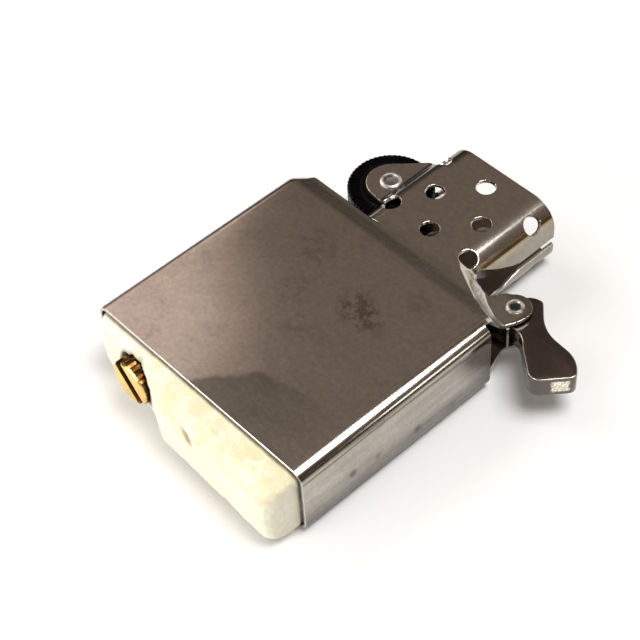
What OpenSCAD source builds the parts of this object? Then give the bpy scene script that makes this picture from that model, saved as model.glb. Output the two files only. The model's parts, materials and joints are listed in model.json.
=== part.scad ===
// Inside unit of a windproof pocket lighter, lying on its back as it would be left on a table.
// x runs from the flint wheel's side to the cam's side, y from the tank's open mouth to the
// chimney's top, and z up out of the broad face that shows. The origin is the middle of the
// tank's back face.

/* [Tank] */
// Width of the tank over its broad face
tank_w = 36; // [35:0.5:38]
// Depth of the tank between its two broad faces
tank_d = 10.6; // [10.2:0.2:12]
// Height of the straight wall from the open mouth to the shoulder
tank_h = 30.8; // [30:0.2:34]
// Thickness of the drawn steel sheet
sheet = 0.45; // [0.4:0.05:0.5]
// Outer radius of the tank's upright edges
edge_r = 1.7; // [1.4:0.1:2.2]
// How far the rim stands in from the narrow sides
rim_in_x = 1.1; // [0.9:0.1:1.3]
// How far the rim and the chimney stand in from the broad faces
rim_in_z = 0.8; // [0.7:0.1:1]
// Height of the rounded shoulder between the wall and the rim
shoulder_h = 1.1; // [0.9:0.1:1.4]
// Height of the straight rim over the shoulder
rim_h = 1.15; // [1:0.05:1.4]
// How far below the shoulder's crease the narrow wall ends under the cam
cam_side_drop = 0.95; // [0.6:0.05:1.4]
// Width of the strip cut off the narrow side over that end
cam_side_cut = 1.2; // [1.1:0.05:1.4]

/* [Chimney] */
// Distance of the chimney from the wheel's side of the tank
chim_from_wheel_side = 10.2; // [10:0.1:10.6]
// Distance of the chimney from the cam's side of the tank
chim_from_cam_side = 8.3; // [8:0.1:8.6]
// Height of the chimney over the rim
chim_h = 17.05; // [16.5:0.1:19]
// Outer radius of the chimney's large uprights
chim_r = 3.5; // [3.2:0.1:3.7]
// Outer radius of the small upright at the back of the cam's side
chim_back_r = 1.8; // [1.5:0.1:2.2]
// Width of the slit where the chimney's two halves meet
slit_w = 1.2; // [0.8:0.1:1.6]
// Height of the slit's middle over the back face
slit_z = 4.15; // [3.9:0.05:4.6]
// Height over the rim where the arch under the slit ends
arch_top = 11; // [10.5:0.1:11.5]
// Half width of the arch at its foot
arch_half = 3.4; // [3.2:0.1:3.6]
// Height over the rim of the arch's straight foot
arch_foot = 4.8; // [4.6:0.1:5.2]

/* [Vent holes] */
// Radius of each vent hole
vent_r = 1.25; // [1.1:0.05:1.35]
// Height of the lowest row over the rim
vent_first = 3.75; // [3.6:0.05:4]
// Distance between rows
vent_pitch = 5; // [4.8:0.1:5.2]
// Distance of the lowest row's outer holes from the middle, along the sheet
vent_low_out = 6.7; // [6.5:0.1:6.9]
// Distance of the middle row's holes from the middle
vent_mid_out = 4; // [3.6:0.1:4.4]
// Distance of the top row's outer holes from the middle, along the sheet
vent_top_out = 8.2; // [8:0.1:8.4]

/* [Flint wheel] */
// Distance of the wheel's axis from the narrow side
wheel_from_side = 8.9; // [8.6:0.1:9.1]
// Height of the wheel's axis over the rim
wheel_rise = 6.95; // [6.8:0.05:7.2]
// Radius of the wheel over its teeth
wheel_r = 5.6; // [5.4:0.05:5.7]
// Depth of the teeth
tooth_depth = 0.28; // [0.2:0.02:0.36]
// Number of teeth
tooth_count = 36; // [32:2:56]
// How far the wheel's ears stand in from the chimney's faces
wheel_ear_in = 1.1; // [1:0.05:1.2]
// Radius of each ear's round tip
wheel_ear_r = 3.2; // [3:0.1:3.4]
// Radius of the wheel rivet's shank
wheel_pin_r = 1; // [0.9:0.05:1.1]
// Radius of the wheel rivet's heads
wheel_head_r = 1.42; // [1.35:0.01:1.6]
// How far each of its heads stands proud of the ear
wheel_head_h = 0.35; // [0.25:0.05:0.45]
// Radius of the dimple in each head
wheel_dimple_r = 0.95; // [0.7:0.05:1.05]
// Depth of that dimple
wheel_dimple = 0.5; // [0.3:0.05:0.7]

/* [Cam] */
// Distance of the cam's axis from the narrow side
cam_from_side = 2.2; // [2.1:0.05:2.4]
// Height of the cam's axis over the rim
cam_rise = 3.25; // [3.15:0.05:3.5]
// Distance from the cam's axis to the far corner of its foot
cam_reach = 11.62; // [11:0.02:12]
// Clearance between the cam and each ear
cam_side_gap = 0.375; // [0.3:0.025:0.5]
// How far the cam's ears stand in from the chimney's faces
cam_ear_in = 2.2; // [2.1:0.05:2.3]
// Radius of each ear's round tip
cam_ear_r = 2.05; // [1.9:0.05:2.1]
// Distance of the hub's two flats from the axis
cam_flat = 2.2; // [2.1:0.05:2.3]
// Radius of the corner between the flats
cam_corner_r = 1; // [0.8:0.1:1.1]
// Angle that the cam turns from open to shut
cam_swing = 110; // [95:1:112]
// Radius of the cam rivet's tube
cam_pin_r = 0.95; // [0.85:0.05:1]
// Radius of the hole through the cam rivet
cam_pin_bore = 0.62; // [0.5:0.02:0.66]
// Radius of its rolled heads
cam_head_r = 1.2; // [1.15:0.05:1.4]
// Height of its rolled heads
cam_head_h = 0.3; // [0.2:0.05:0.4]
// Thickness of the cam spring's leaf
leaf_t = 0.3; // [0.25:0.05:0.35]

/* [Deck and wick] */
// Thickness of the deck plate
deck_t = 0.5; // [0.4:0.05:0.6]
// How far the deck's top lies under the rim
deck_drop = 0.45; // [0.4:0.05:0.55]
// Radius of the hole through the wick eyelet
eyelet_bore = 1.6; // [1.5:0.05:1.7]
// Wall thickness of the eyelet
eyelet_wall = 0.35; // [0.3:0.05:0.45]
// Radius of the eyelet's flanges
eyelet_flange_r = 2.7; // [2.5:0.1:3]
// Thickness of the eyelet's flanges
eyelet_flange_t = 0.35; // [0.3:0.05:0.4]
// Radius of the braided wick
wick_r = 1.3; // [1.2:0.05:1.35]
// Height of the wick's top over the rim
wick_rise = 8.9; // [7:0.1:9.5]
// Radius of each copper wire in the wick
wire_r = 0.12; // [0.1:0.01:0.13]
// Number of copper wires
wire_count = 3; // [2:1:4]
// How far the wires stand out of the wick's top
wire_out = 0.6; // [0.3:0.1:1]

/* [Flint and screw] */
// Distance of the flint tube's axis from the narrow side
tube_from_side = 8.8; // [8.6:0.1:9]
// Height of the flint tube's axis over the middle of the depth
tube_lift = 0.3; // [0:0.1:0.4]
// Outer radius of the flint tube
tube_r = 2.2; // [2.1:0.05:2.3]
// Radius of the tube's bore
tube_bore = 1.35; // [1.3:0.05:1.45]
// Radius of the flared lip that hangs the tube in the deck
tube_lip_r = 2.9; // [2.7:0.1:3.1]
// Height of that lip
tube_lip_h = 0.35; // [0.3:0.05:0.45]
// How far the tube stands out of the tank's mouth
tube_out = 1; // [0.9:0.05:1.2]
// Length of the flint
flint_len = 5; // [4:0.1:5.5]
// Thickness of the spring tip's head
tip_head = 0.6; // [0.5:0.05:0.7]
// Length of the spring tip's stem inside the spring
tip_stem = 1; // [0.8:0.1:1.4]
// Thickness of the flint spring's wire
spring_wire = 0.36; // [0.32:0.02:0.38]
// Outer radius of the flint spring
spring_r = 1.15; // [1.1:0.05:1.2]
// Number of turns of the flint spring
spring_turns = 16; // [14:1:20]
// Radius of the flint screw's head
screw_head_r = 3.1; // [3:0.05:3.2]
// Height of its head
screw_head_h = 2; // [1.8:0.05:2.2]
// Radius of its threaded shank over the crests
screw_r = 1.7; // [1.65:0.05:1.75]
// Length of its shank
screw_len = 5; // [4:0.1:6]
// Depth of the thread
thread_depth = 0.22; // [0.15:0.01:0.25]
// Distance between threads
thread_pitch = 0.7; // [0.6:0.1:0.8]
// Width of the screwdriver slot
slot_w = 1.5; // [1.3:0.1:1.7]
// Depth of the screwdriver slot
slot_depth = 0.9; // [0.7:0.1:1]
// Direction of the slot across the head
slot_turn = 51; // [40:1:60]
// Number of knurled ridges round the head
knurl_count = 28; // [24:2:48]
// Depth of the knurling
knurl_depth = 0.12; // [0.08:0.01:0.15]

/* [Felt and packing] */
// How far the felt's face stands out of the mouth at the wheel's side
felt_out_low = 1.1; // [0.9:0.1:1.3]
// How far it stands out at the cam's side
felt_out_high = 4.6; // [4:0.1:4.8]
// How far the felt reaches into the tank
felt_in = 2; // [1.6:0.1:2.3]
// Radius of the felt's rounded edges
felt_edge = 1.5; // [1.2:0.1:1.8]
// Length of the lifting slit cut in the felt
felt_slit = 2.6; // [2:0.1:3]
// Distance of that slit from the middle of the tank, towards the cam's side
slit_out = 3; // [2:0.1:4]
// Height of that slit over the middle of the depth
slit_rise = 2.5; // [2:0.1:2.8]
// Thickness left free between the cotton and each broad wall
cotton_side_gap = 0.35; // [0.3:0.05:0.5]
// Height kept free over the first column for the wick's bend
wick_bend_h = 4; // [3.8:0.1:4.4]

/* [Clearances] */
// Radial running clearance of a turning piece on its pin
run_gap = 0.05; // [0.03:0.01:0.08]
// Clearance of a piece set in a hole of the same body
seat_gap = 0.02; // [0.01:0.01:0.04]
// Clearance between a moving piece and the sheet beside it
side_gap = 0.1; // [0.08:0.01:0.15]
// Clearance round soft pieces
soft_gap = 0.3; // [0.25:0.05:0.35]

/* [Hidden] */
$fn = 48;

// Reach of the cam for which its outline's points are drawn
drawn_reach = 11.62;

// Main levels
half_w = tank_w / 2;
mid_z = tank_d / 2;
mouth_y = -tank_h / 2;
crease_y = tank_h / 2;
rim_y = crease_y + shoulder_h + rim_h;
top_y = rim_y + chim_h;
face_z = tank_d - rim_in_z;
face_half = face_z - mid_z;
deck_top = rim_y - deck_drop;
deck_low = deck_top - deck_t;
chim_left = -half_w + chim_from_wheel_side;
chim_right = half_w - chim_from_cam_side;
chim_w = chim_right - chim_left;
chim_x = (chim_left + chim_right) / 2;

// Wheel and its ears
wheel_x = -half_w + wheel_from_side;
wheel_y = rim_y + wheel_rise;
wheel_ear_z = face_z - wheel_ear_in;
wheel_half = wheel_ear_z - sheet - side_gap - mid_z;
wheel_open_y = wheel_y + 7.1;
wheel_open_x = chim_left + 1.2;

// Cam and its ears
cam_x = half_w - cam_from_side;
cam_y = rim_y + cam_rise;
cam_ear_z = face_z - cam_ear_in;
cam_cut_y = crease_y - cam_side_drop;
cam_gap_half = cam_ear_z - sheet - mid_z;
cam_t = 2 * (cam_gap_half - cam_side_gap);
leaf_w = 2 * (cam_gap_half - side_gap);

// Flint, tube and screw
tube_x = -half_w + tube_from_side;
tube_z = mid_z + tube_lift;
tube_low = mouth_y - tube_out;
flint_r = tube_bore - side_gap;
flint_gap = side_gap;
flint_low = wheel_y - wheel_r - flint_gap - flint_len;
screw_in = tube_low + screw_len;
tip_low = flint_low - seat_gap - tip_head;
spring_low = screw_in + seat_gap;
spring_high = tip_low - seat_gap;

// Wick, and two columns of cotton with the wick's lane between them
wick_x = chim_x;
felt_top = mouth_y + felt_in;
cotton_left = tube_x + tube_r + soft_gap;
cotton_right = half_w - sheet - soft_gap;
cotton_half = (cotton_right - cotton_left - 2 * wick_r - 2 * soft_gap) / 4;
cotton_t = tank_d - 2 * sheet - 2 * cotton_side_gap;
near_x = cotton_left + cotton_half;
far_x = cotton_right - cotton_half;
lane_x = near_x + cotton_half + soft_gap + wick_r;
tail_y = felt_top + soft_gap + wick_r;
near_low = felt_top + soft_gap;
near_high = deck_low - wick_bend_h;
near_half = (near_high - near_low - 2 * soft_gap) / 6;
far_low = tail_y + wick_r + soft_gap;
far_high = deck_low - seat_gap - leaf_t - soft_gap;
far_half = (far_high - far_low - soft_gap) / 4;

function arc(cx, cy, r, a0, a1, n) =
    [for (i = [0 : n]) let (a = a0 + (a1 - a0) * i / n) [cx + r * cos(a), cy + r * sin(a)]];

// A rounded rectangle's outline with its own radius at each corner, from the low right corner round
function round_box(x0, x1, z0, z1, radii, n) = concat(
    arc(x1 - radii[0], z0 + radii[0], radii[0], -90, 0, n),
    arc(x1 - radii[1], z1 - radii[1], radii[1], 0, 90, n),
    arc(x0 + radii[2], z1 - radii[2], radii[2], 90, 180, n),
    arc(x0 + radii[3], z0 + radii[3], radii[3], 180, 270, n));

function ring(w, d, r, y) =
    [for (p = round_box(-w / 2, w / 2, mid_z - d / 2, mid_z + d / 2, [r, r, r, r], 6)) [p[0], y, p[1]]];

// A closed skin through rings of equally many points
module loft(rings) {
    m = len(rings[0]);
    n = len(rings);
    polyhedron(
        points = [for (r = rings) each r],
        faces = concat(
            [[for (j = [0 : m - 1]) m - 1 - j]],
            [[for (j = [0 : m - 1]) (n - 1) * m + j]],
            [for (i = [0 : n - 2], j = [0 : m - 1])
                let (k = (j + 1) % m, a = i * m + j, b = i * m + k) each
                    [[a, b, a + m], [b, b + m, a + m]]]),
        convexity = 6);
}

// A sheet between two grids of points, closed all round
module sheet_grid(outer, inner) {
    n = len(outer);
    m = len(outer[0]);
    o = n * m;
    polyhedron(
        points = concat([for (r = outer) each r], [for (r = inner) each r]),
        faces = concat(
            [for (i = [0 : n - 2], j = [0 : m - 2])
                let (a = i * m + j, b = a + 1, c = a + m, d = c + 1) each
                    [[a, b, c], [b, d, c], [o + a, o + c, o + b], [o + b, o + c, o + d]]],
            [for (j = [0 : m - 2])
                let (a = j, b = j + 1, c = (n - 1) * m + j, d = c + 1) each
                    [[a, o + a, b], [b, o + a, o + b], [c, d, o + c], [d, o + d, o + c]]],
            [for (i = [0 : n - 2])
                let (a = i * m, b = a + m, c = a + m - 1, d = c + m) each
                    [[a, b, o + a], [b, o + b, o + a], [c, o + c, d], [d, o + c, o + d]]]),
        convexity = 6);
}

// An outline in x and z, extruded from one height to another
module upright(y0, y1) {
    translate([0, y1, 0]) rotate([90, 0, 0]) linear_extrude(height = y1 - y0) children();
}

// An outline in x and y, extruded over a range of z
module layer(z0, z1) {
    translate([0, 0, z0]) linear_extrude(height = z1 - z0) children();
}

// A rod or bore along y at a place in x and z
module rod_y(x, z, r, y0, y1) {
    translate([x, y1, z]) rotate([90, 0, 0]) cylinder(r = r, h = y1 - y0);
}

module both_faces() {
    children();
    translate([0, 0, tank_d]) mirror([0, 0, 1]) children();
}

function body_rings(off, y0) = [
    ring(tank_w - 2 * off, tank_d - 2 * off, edge_r - off, y0),
    ring(tank_w - 2 * off, tank_d - 2 * off, edge_r - off, crease_y - 0.3),
    for (i = [0 : 4])
        let (a = i * 45 / 2, s = (1 - cos(2 * a)) / 2, r = edge_r - off - 0.2 * s)
            ring(tank_w - 2 * off - 2 * rim_in_x * s, tank_d - 2 * off - 2 * rim_in_z * s, r,
                crease_y + shoulder_h * a / 90)
];

module body_skin() {
    difference() {
        loft(concat(body_rings(0, mouth_y),
            [ring(tank_w - 2 * rim_in_x, tank_d - 2 * rim_in_z, edge_r - 0.2, rim_y)]));
        loft(concat(body_rings(sheet, mouth_y - 1),
            [ring(tank_w - 2 * rim_in_x - 2 * sheet, tank_d - 2 * rim_in_z - 2 * sheet,
                edge_r - 0.2 - sheet, rim_y + 1)]));
    }
}

// A rounded box in x and z with exact arcs, its radii in the order of round_box
module round_outline(x0, x1, z0, z1, radii) {
    corners = [[x1, z0, -1, 1], [x1, z1, -1, -1], [x0, z1, 1, -1], [x0, z0, 1, 1]];
    difference() {
        translate([x0, z0]) square([x1 - x0, z1 - z0]);
        for (i = [0 : 3]) translate([corners[i][0], corners[i][1]])
            scale([corners[i][2], corners[i][3]]) difference() {
                translate([-1, -1]) square(1 + radii[i]);
                translate([radii[i], radii[i]]) circle(radii[i]);
            }
    }
}

module chimney_outline(off) {
    big = chim_r - off;
    round_outline(chim_left + off, chim_right - off, tank_d - face_z + off, face_z - off,
        [chim_back_r - off, big, big, big]);
}

module chimney_wall() {
    upright(rim_y - 0.3, top_y) difference() {
        chimney_outline(0);
        chimney_outline(sheet);
    }
}

// One vent hole, where the sheet is flat or round its bent end
module vent(out, rise, r) {
    flat = chim_w / 2 - r;
    side = sign(out);
    past = max(abs(out) - flat, 0);
    x = chim_x + side * min(abs(out), flat);
    translate([x, rim_y + rise, face_z - r]) rotate([0, side * past / r * 180 / PI, 0])
        translate([0, 0, r - 2 * sheet]) cylinder(r = vent_r, h = 4 * sheet);
}

module vents(right_r) {
    rows = [[0, [-vent_low_out, 0, vent_low_out]], [1, [-vent_mid_out, vent_mid_out]],
        [2, [-vent_top_out, 0, vent_top_out]]];
    for (row = rows, out = row[1])
        vent(out, vent_first + row[0] * vent_pitch, out > 0 ? right_r : chim_r);
}

// Point where a line from p touches a circle, on the side given
function touch(c, r, p, side) =
    let (d = norm(p - c), a = atan2(p[1] - c[1], p[0] - c[0]), b = acos(r / d))
        [c[0] + r * cos(a + side * b), c[1] + r * sin(a + side * b)];

// The front ear that carries the wheel
module wheel_ear() {
    c = [wheel_x, wheel_y];
    high = [wheel_open_x + 0.35, wheel_open_y + 0.1];
    low = [wheel_open_x + 0.35, wheel_y - 3.75];
    layer(wheel_ear_z - sheet, wheel_ear_z) difference() {
        union() {
            translate(c) circle(wheel_ear_r);
            polygon([c, touch(c, wheel_ear_r, low, -1), low, high, touch(c, wheel_ear_r, high, 1)]);
        }
        translate(c) circle(wheel_pin_r + seat_gap);
    }
}

// The front ear that carries the cam
module cam_ear() {
    c = [cam_x, cam_y];
    left = c + [-2.7, 0.2];
    right = c + [1.35, -2.8];
    layer(cam_ear_z - sheet, cam_ear_z) difference() {
        union() {
            translate(c) circle(cam_ear_r);
            polygon([c, touch(c, cam_ear_r, left, -1), left, c + [-2.9, -1.3], c + [-2.7, -2.1],
                c + [-0.6, -2.6], right, touch(c, cam_ear_r, right, 1)]);
        }
        translate(c) circle(cam_pin_r + seat_gap);
    }
}

// The bent band from the chimney's face down to the cam's ear. Each station runs from a point
// on the face's edge to a point on the ear's edge, and the sheet follows an S between them.
module cam_band() {
    start = chim_right - chim_r;
    deep = cam_ear_in;
    stations = [
        [[start + 0.2, rim_y + 4.1], [start + 2.3, rim_y + 4.7], deep * 0.32],
        [[start + 0.9, rim_y + 2.6], [start + 3.5, rim_y + 3.9], deep * 0.45],
        [[cam_x - 7.4, rim_y + 1.3], [cam_x - 5.3, rim_y + 2.7], deep * 0.6],
        [[cam_x - 5.4, rim_y + 0.75], [cam_x - 3.7, rim_y + 1.8], deep * 0.9],
        [[cam_x - 3.2, rim_y + 0.05], [cam_x - 2.5, rim_y + 1.5], deep],
        [[cam_x - 0.8, rim_y - 0.8], [cam_x - 0.3, rim_y + 0.9], deep],
        [[half_w - cam_side_cut, rim_y - 1.45], [half_w - cam_side_cut + 0.1, rim_y + 0.6], deep]
    ];
    steps = 6;
    outer = [for (s = stations) [for (k = [0 : steps])
        let (u = k / steps, v = (1 - cos(180 * u)) / 2)
            [s[0][0] + (s[1][0] - s[0][0]) * u, s[0][1] + (s[1][1] - s[0][1]) * u,
                face_z - s[2] * v]]];
    inner = [for (r = outer) [for (k = [0 : steps])
        let (w = sin(180 * k / steps))
            [r[k][0] - 0.1 * w, r[k][1] - 0.2 * w, r[k][2] - sheet - 0.1 * w]]];
    sheet_grid(outer, inner);
}

// The face's flat sheet between the chimney and the band
module cam_face() {
    start = chim_right - chim_r;
    layer(face_z - sheet, face_z) polygon([
        [start - 0.6, rim_y - 0.3], [start - 0.6, rim_y + 4.1], [start + 0.25, rim_y + 4.1],
        [start + 0.95, rim_y + 2.6], [cam_x - 7.35, rim_y + 1.3], [cam_x - 5.35, rim_y + 0.75],
        [cam_x - 3.15, rim_y + 0.05], [cam_x - 3.15, rim_y - 0.3]]);
}

// What is cut off the rim over the band
module cam_rim_cut() {
    layer(-1, tank_d + 1) polygon([
        [cam_x - 5.9, rim_y + 1], [cam_x - 3.2, rim_y + 0.1], [cam_x - 0.8, rim_y - 0.75],
        [half_w - cam_side_cut, rim_y - 1.4], [half_w + 1, rim_y - 1.9], [half_w + 1, rim_y + 5],
        [cam_x - 5.9, rim_y + 5]]);
}

// The arch under the slit at the chimney's rounded end
module arch_cut() {
    x0 = chim_right - chim_r + 0.25;
    slit_half = slit_w / 2;
    past = 1;
    side_y = rim_y + arch_foot - 0.7;
    flare_y = side_y + 0.2;
    foot_y = rim_y + arch_foot;
    waist_y = foot_y + 2.5;
    translate([x0, 0, 0]) rotate([90, 0, 90]) linear_extrude(height = chim_r + past) polygon([
        [rim_y - past, mid_z - face_half - past], [side_y, mid_z - face_half - past],
        [flare_y, mid_z - arch_half - 0.5], [foot_y, mid_z - arch_half],
        [waist_y, mid_z - arch_half + 1.4],
        [rim_y + arch_top, slit_z - slit_half], [top_y + past, slit_z - slit_half],
        [top_y + past, slit_z + slit_half], [rim_y + arch_top, slit_z + slit_half],
        [waist_y, mid_z + arch_half - 1.8],
        [foot_y, mid_z + arch_half], [flare_y, mid_z + arch_half + 0.5],
        [side_y, mid_z + face_half + past], [rim_y - past, mid_z + face_half + past]]);
}

module insert_case() {
    color([0.42, 0.39, 0.37]) {
        difference() {
            union() {
                difference() {
                    body_skin();
                    cam_rim_cut();
                    translate([half_w - cam_side_cut, cam_cut_y, -1])
                        cube([cam_side_cut + 1, tank_h, tank_d + 2]);
                    translate([half_w - rim_in_x - sheet - side_gap, cam_cut_y, tank_d - face_z + sheet])
                        cube([cam_side_cut + 1, tank_h, 2 * (face_half - sheet)]);
                }
                difference() {
                    chimney_wall();
                    translate([chim_left - 1, rim_y - 1, mid_z - wheel_half - side_gap - 0.15])
                        cube([wheel_open_x - chim_left + 1, wheel_open_y - rim_y + 1,
                            2 * (wheel_half + side_gap + 0.15)]);
                    translate([chim_left - 1, rim_y - 1, mid_z - 2.3])
                        cube([wheel_open_x - chim_left + 1, chim_h + 2, 4.6]);
                    arch_cut();
                }
                both_faces() {
                    cam_face();
                    wheel_ear();
                }
            }
            vents(chim_r);
            translate([0, 0, tank_d]) mirror([0, 0, 1]) vents(chim_back_r);
        }
        both_faces() {
            cam_ear();
            cam_band();
        }
    }
}

module deck_plate() {
    clear_x = half_w - rim_in_x - sheet - seat_gap;
    clear_z = face_half - sheet - seat_gap;
    slot_x = cam_x - 7.2;
    color([0.55, 0.54, 0.52]) difference() {
        upright(deck_low, deck_top) round_outline(-clear_x, cam_x - 4, mid_z - clear_z, mid_z + clear_z,
            [0.4, 0.4, edge_r - 0.3, edge_r - 0.3]);
        rod_y(tube_x, tube_z, tube_r + seat_gap, deck_low - 1, deck_top + 1);
        rod_y(wick_x, mid_z, eyelet_bore + eyelet_wall + seat_gap, deck_low - 1, deck_top + 1);
        translate([slot_x, deck_low - 1, mid_z - leaf_w / 2 - soft_gap])
            cube([cam_x, deck_t + 2, leaf_w + 2 * soft_gap]);
    }
}

module flint_tube() {
    color([0.72, 0.58, 0.3]) difference() {
        union() {
            rod_y(tube_x, tube_z, tube_r, tube_low, deck_top + tube_lip_h);
            rod_y(tube_x, tube_z, tube_lip_r, deck_top, deck_top + tube_lip_h);
        }
        rod_y(tube_x, tube_z, tube_bore, tube_low - 1, deck_top + tube_lip_h + 1);
        rod_y(tube_x, tube_z, screw_r + run_gap, tube_low - 1, screw_in);
    }
}

module flint_wheel() {
    inner = wheel_r - tooth_depth;
    bevel = 0.2;
    color([0.09, 0.09, 0.1]) translate([wheel_x, wheel_y, mid_z]) difference() {
        intersection() {
            linear_extrude(height = 2 * wheel_half, center = true) polygon([
                for (i = [0 : tooth_count - 1]) let (a = i * 360 / tooth_count, s = 360 / tooth_count)
                    each [[inner * cos(a), inner * sin(a)],
                        [wheel_r * cos(a + s * 0.3), wheel_r * sin(a + s * 0.3)],
                        [wheel_r * cos(a + s * 0.55), wheel_r * sin(a + s * 0.55)]]]);
            rotate_extrude($fn = 96) polygon([[0, -wheel_half], [wheel_r - bevel, -wheel_half],
                [wheel_r + 0.02, -wheel_half + bevel], [wheel_r + 0.02, wheel_half - bevel],
                [wheel_r - bevel, wheel_half], [0, wheel_half]]);
        }
        cylinder(r = wheel_pin_r + run_gap, h = 4 * wheel_half, center = true);
    }
}

module wheel_rivet() {
    low = mid_z - (wheel_ear_z - mid_z);
    color([0.75, 0.74, 0.72]) translate([wheel_x, wheel_y, 0]) difference() {
        union() {
            translate([0, 0, low]) cylinder(r = wheel_pin_r, h = wheel_ear_z - low);
            for (z = [low - wheel_head_h, wheel_ear_z])
                translate([0, 0, z]) cylinder(r = wheel_head_r, h = wheel_head_h);
        }
        translate([0, 0, wheel_ear_z + wheel_head_h - wheel_dimple])
            cylinder(r1 = wheel_dimple_r * 0.8, r2 = wheel_dimple_r, h = wheel_dimple + 0.01);
        translate([0, 0, low - wheel_head_h - 0.01])
            cylinder(r1 = wheel_dimple_r, r2 = wheel_dimple_r * 0.8, h = wheel_dimple + 0.01);
    }
}

// The cam in its open place. The hub has two flats for the spring, with a rounded corner between
// them, and the lever ends in a broad foot that meets the lid.
module cam_lever() {
    corner_a = -90 - cam_swing / 2;
    reach = (cam_flat - cam_corner_r) / cos(cam_swing / 2);
    corner = reach * [cos(corner_a), sin(corner_a)];
    shut_a = -90 - cam_swing;
    shut = [cos(shut_a), sin(shut_a)];
    size = cam_reach / drawn_reach;
    color([0.25, 0.23, 0.21]) translate([cam_x, cam_y, mid_z]) difference() {
        union() {
            cylinder(r = cam_flat, h = cam_t, center = true);
            translate(corner) cylinder(r = cam_corner_r, h = cam_t, center = true);
            linear_extrude(height = cam_t, center = true) polygon([
                [0, 0], cam_flat * shut, corner + cam_corner_r * shut, corner,
                corner + cam_corner_r * [0, -1], [0, -cam_flat]]);
            linear_extrude(height = cam_t, center = true) scale(size) polygon(concat(
                [[-0.3, 0.3], [0.32, 3.3]],
                arc(1.1, 2.75, 0.75, 105, 40, 4),
                arc(7.1, 5.6, 5.55, 222, 268, 7),
                arc(7.9, -4.62, 4.6, 90, 48, 5),
                arc(10.6, -2.3, 1.02, 35, -40, 5),
                arc(8.2, -4.5, 1.52, -38, -132, 8),
                arc(1, -6, 4.25, 38, 72, 5),
                [[0.3, -0.6]]));
        }
        cylinder(r = cam_pin_r + run_gap, h = 2 * cam_t, center = true);
    }
}

module cam_rivet() {
    half = cam_ear_z - mid_z;
    color([0.7, 0.69, 0.67]) translate([cam_x, cam_y, mid_z]) difference() {
        union() {
            cylinder(r = cam_pin_r, h = 2 * half + 2 * cam_head_h, center = true);
            for (s = [-1, 1]) translate([0, 0, s * (half + cam_head_h / 2)])
                cylinder(r = cam_head_r, h = cam_head_h, center = true);
        }
        cylinder(r = cam_pin_bore, h = 4 * half, center = true);
    }
}

// The leaf lies under the deck, rises through its slot and lies under the cam's flat
module cam_spring() {
    under = deck_low - seat_gap;
    seat = cam_y - cam_flat - side_gap / 2;
    bend = cam_x - 6.8;
    rise = cam_x - 3;
    tip = cam_x + 1.5;
    color([0.6, 0.58, 0.52]) difference() {
        union() {
            layer(mid_z - leaf_w / 2, mid_z + leaf_w / 2) polygon([
                [wick_x, under], [bend, under], [rise, seat - 0.1], [rise + 1.2, seat],
                [tip - 0.7, seat], [tip, seat - 0.35], [tip - 0.1, seat - 0.35 - leaf_t],
                [tip - 0.8, seat - leaf_t], [rise + 1.3, seat - leaf_t],
                [rise + 0.15, seat - 0.15 - leaf_t], [bend + 0.1, under - leaf_t],
                [wick_x, under - leaf_t]]);
            rod_y(wick_x, mid_z, eyelet_flange_r + 0.4, under - leaf_t, under);
        }
        rod_y(wick_x, mid_z, eyelet_bore + eyelet_wall + seat_gap, under - 2, under + 2);
    }
}

module wick_eyelet() {
    low = deck_low - 2 * seat_gap - leaf_t;
    color([0.75, 0.6, 0.32]) difference() {
        union() {
            rod_y(wick_x, mid_z, eyelet_bore + eyelet_wall, low - eyelet_flange_t,
                deck_top + eyelet_flange_t);
            rod_y(wick_x, mid_z, eyelet_flange_r, deck_top, deck_top + eyelet_flange_t);
            rod_y(wick_x, mid_z, eyelet_flange_r, low - eyelet_flange_t, low);
        }
        rod_y(wick_x, mid_z, eyelet_bore, low - 2, deck_top + 2);
    }
}

// The wick's route: straight in the chimney, round the first column's shoulder into the lane,
// and then under the second column
wick_turn = [
    [wick_x, rim_y + wick_rise], [wick_x, rim_y + wick_rise / 3], [wick_x, deck_low - 0.3 * wick_bend_h],
    [wick_x + 0.13 * (lane_x - wick_x), deck_low - 0.6 * wick_bend_h],
    [wick_x + 0.47 * (lane_x - wick_x), deck_low - wick_bend_h],
    [wick_x + 0.8 * (lane_x - wick_x), deck_low - 1.45 * wick_bend_h],
    [lane_x, deck_low - 2 * wick_bend_h]
];
tail_r = 3 * wick_r;
wick_route = concat(wick_turn, [[lane_x, 0.5 * (near_low + near_high)]],
    arc(lane_x + tail_r, tail_y + tail_r, tail_r, 180, 270, 6), [[far_x, tail_y]]);

function unit(v) = v / norm(v);

// A tube of one radius along a route in the middle plane
module flat_tube(route, r, sides) {
    last = len(route) - 1;
    loft([for (i = [0 : last])
        let (
            d = unit(route[min(i + 1, last)] - route[max(i - 1, 0)]),
            n = [-d[1], d[0]])
            [for (k = [0 : sides - 1]) let (a = -k * 360 / sides)
                [route[i][0] + r * cos(a) * n[0], route[i][1] + r * cos(a) * n[1],
                    mid_z + r * sin(a)]]]);
}

module wick() {
    color([0.62, 0.52, 0.38]) flat_tube(wick_route, wick_r, 10);
}

module wick_wires() {
    color([0.72, 0.42, 0.25]) for (i = [0 : wire_count - 1])
        let (a = 30 + i * 360 / wire_count, out = (wick_r + eyelet_bore) / 2)
            rod_y(wick_x + out * cos(a), mid_z + out * sin(a), wire_r, deck_low - 1,
                rim_y + wick_rise + wire_out);
}

module flint() {
    color([0.4, 0.38, 0.37]) difference() {
        rod_y(tube_x, tube_z, flint_r, flint_low, wheel_y - wheel_r + 0.3);
        translate([wheel_x, wheel_y, -1]) cylinder(r = wheel_r + flint_gap, h = tank_d + 2, $fn = 96);
    }
}

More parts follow.
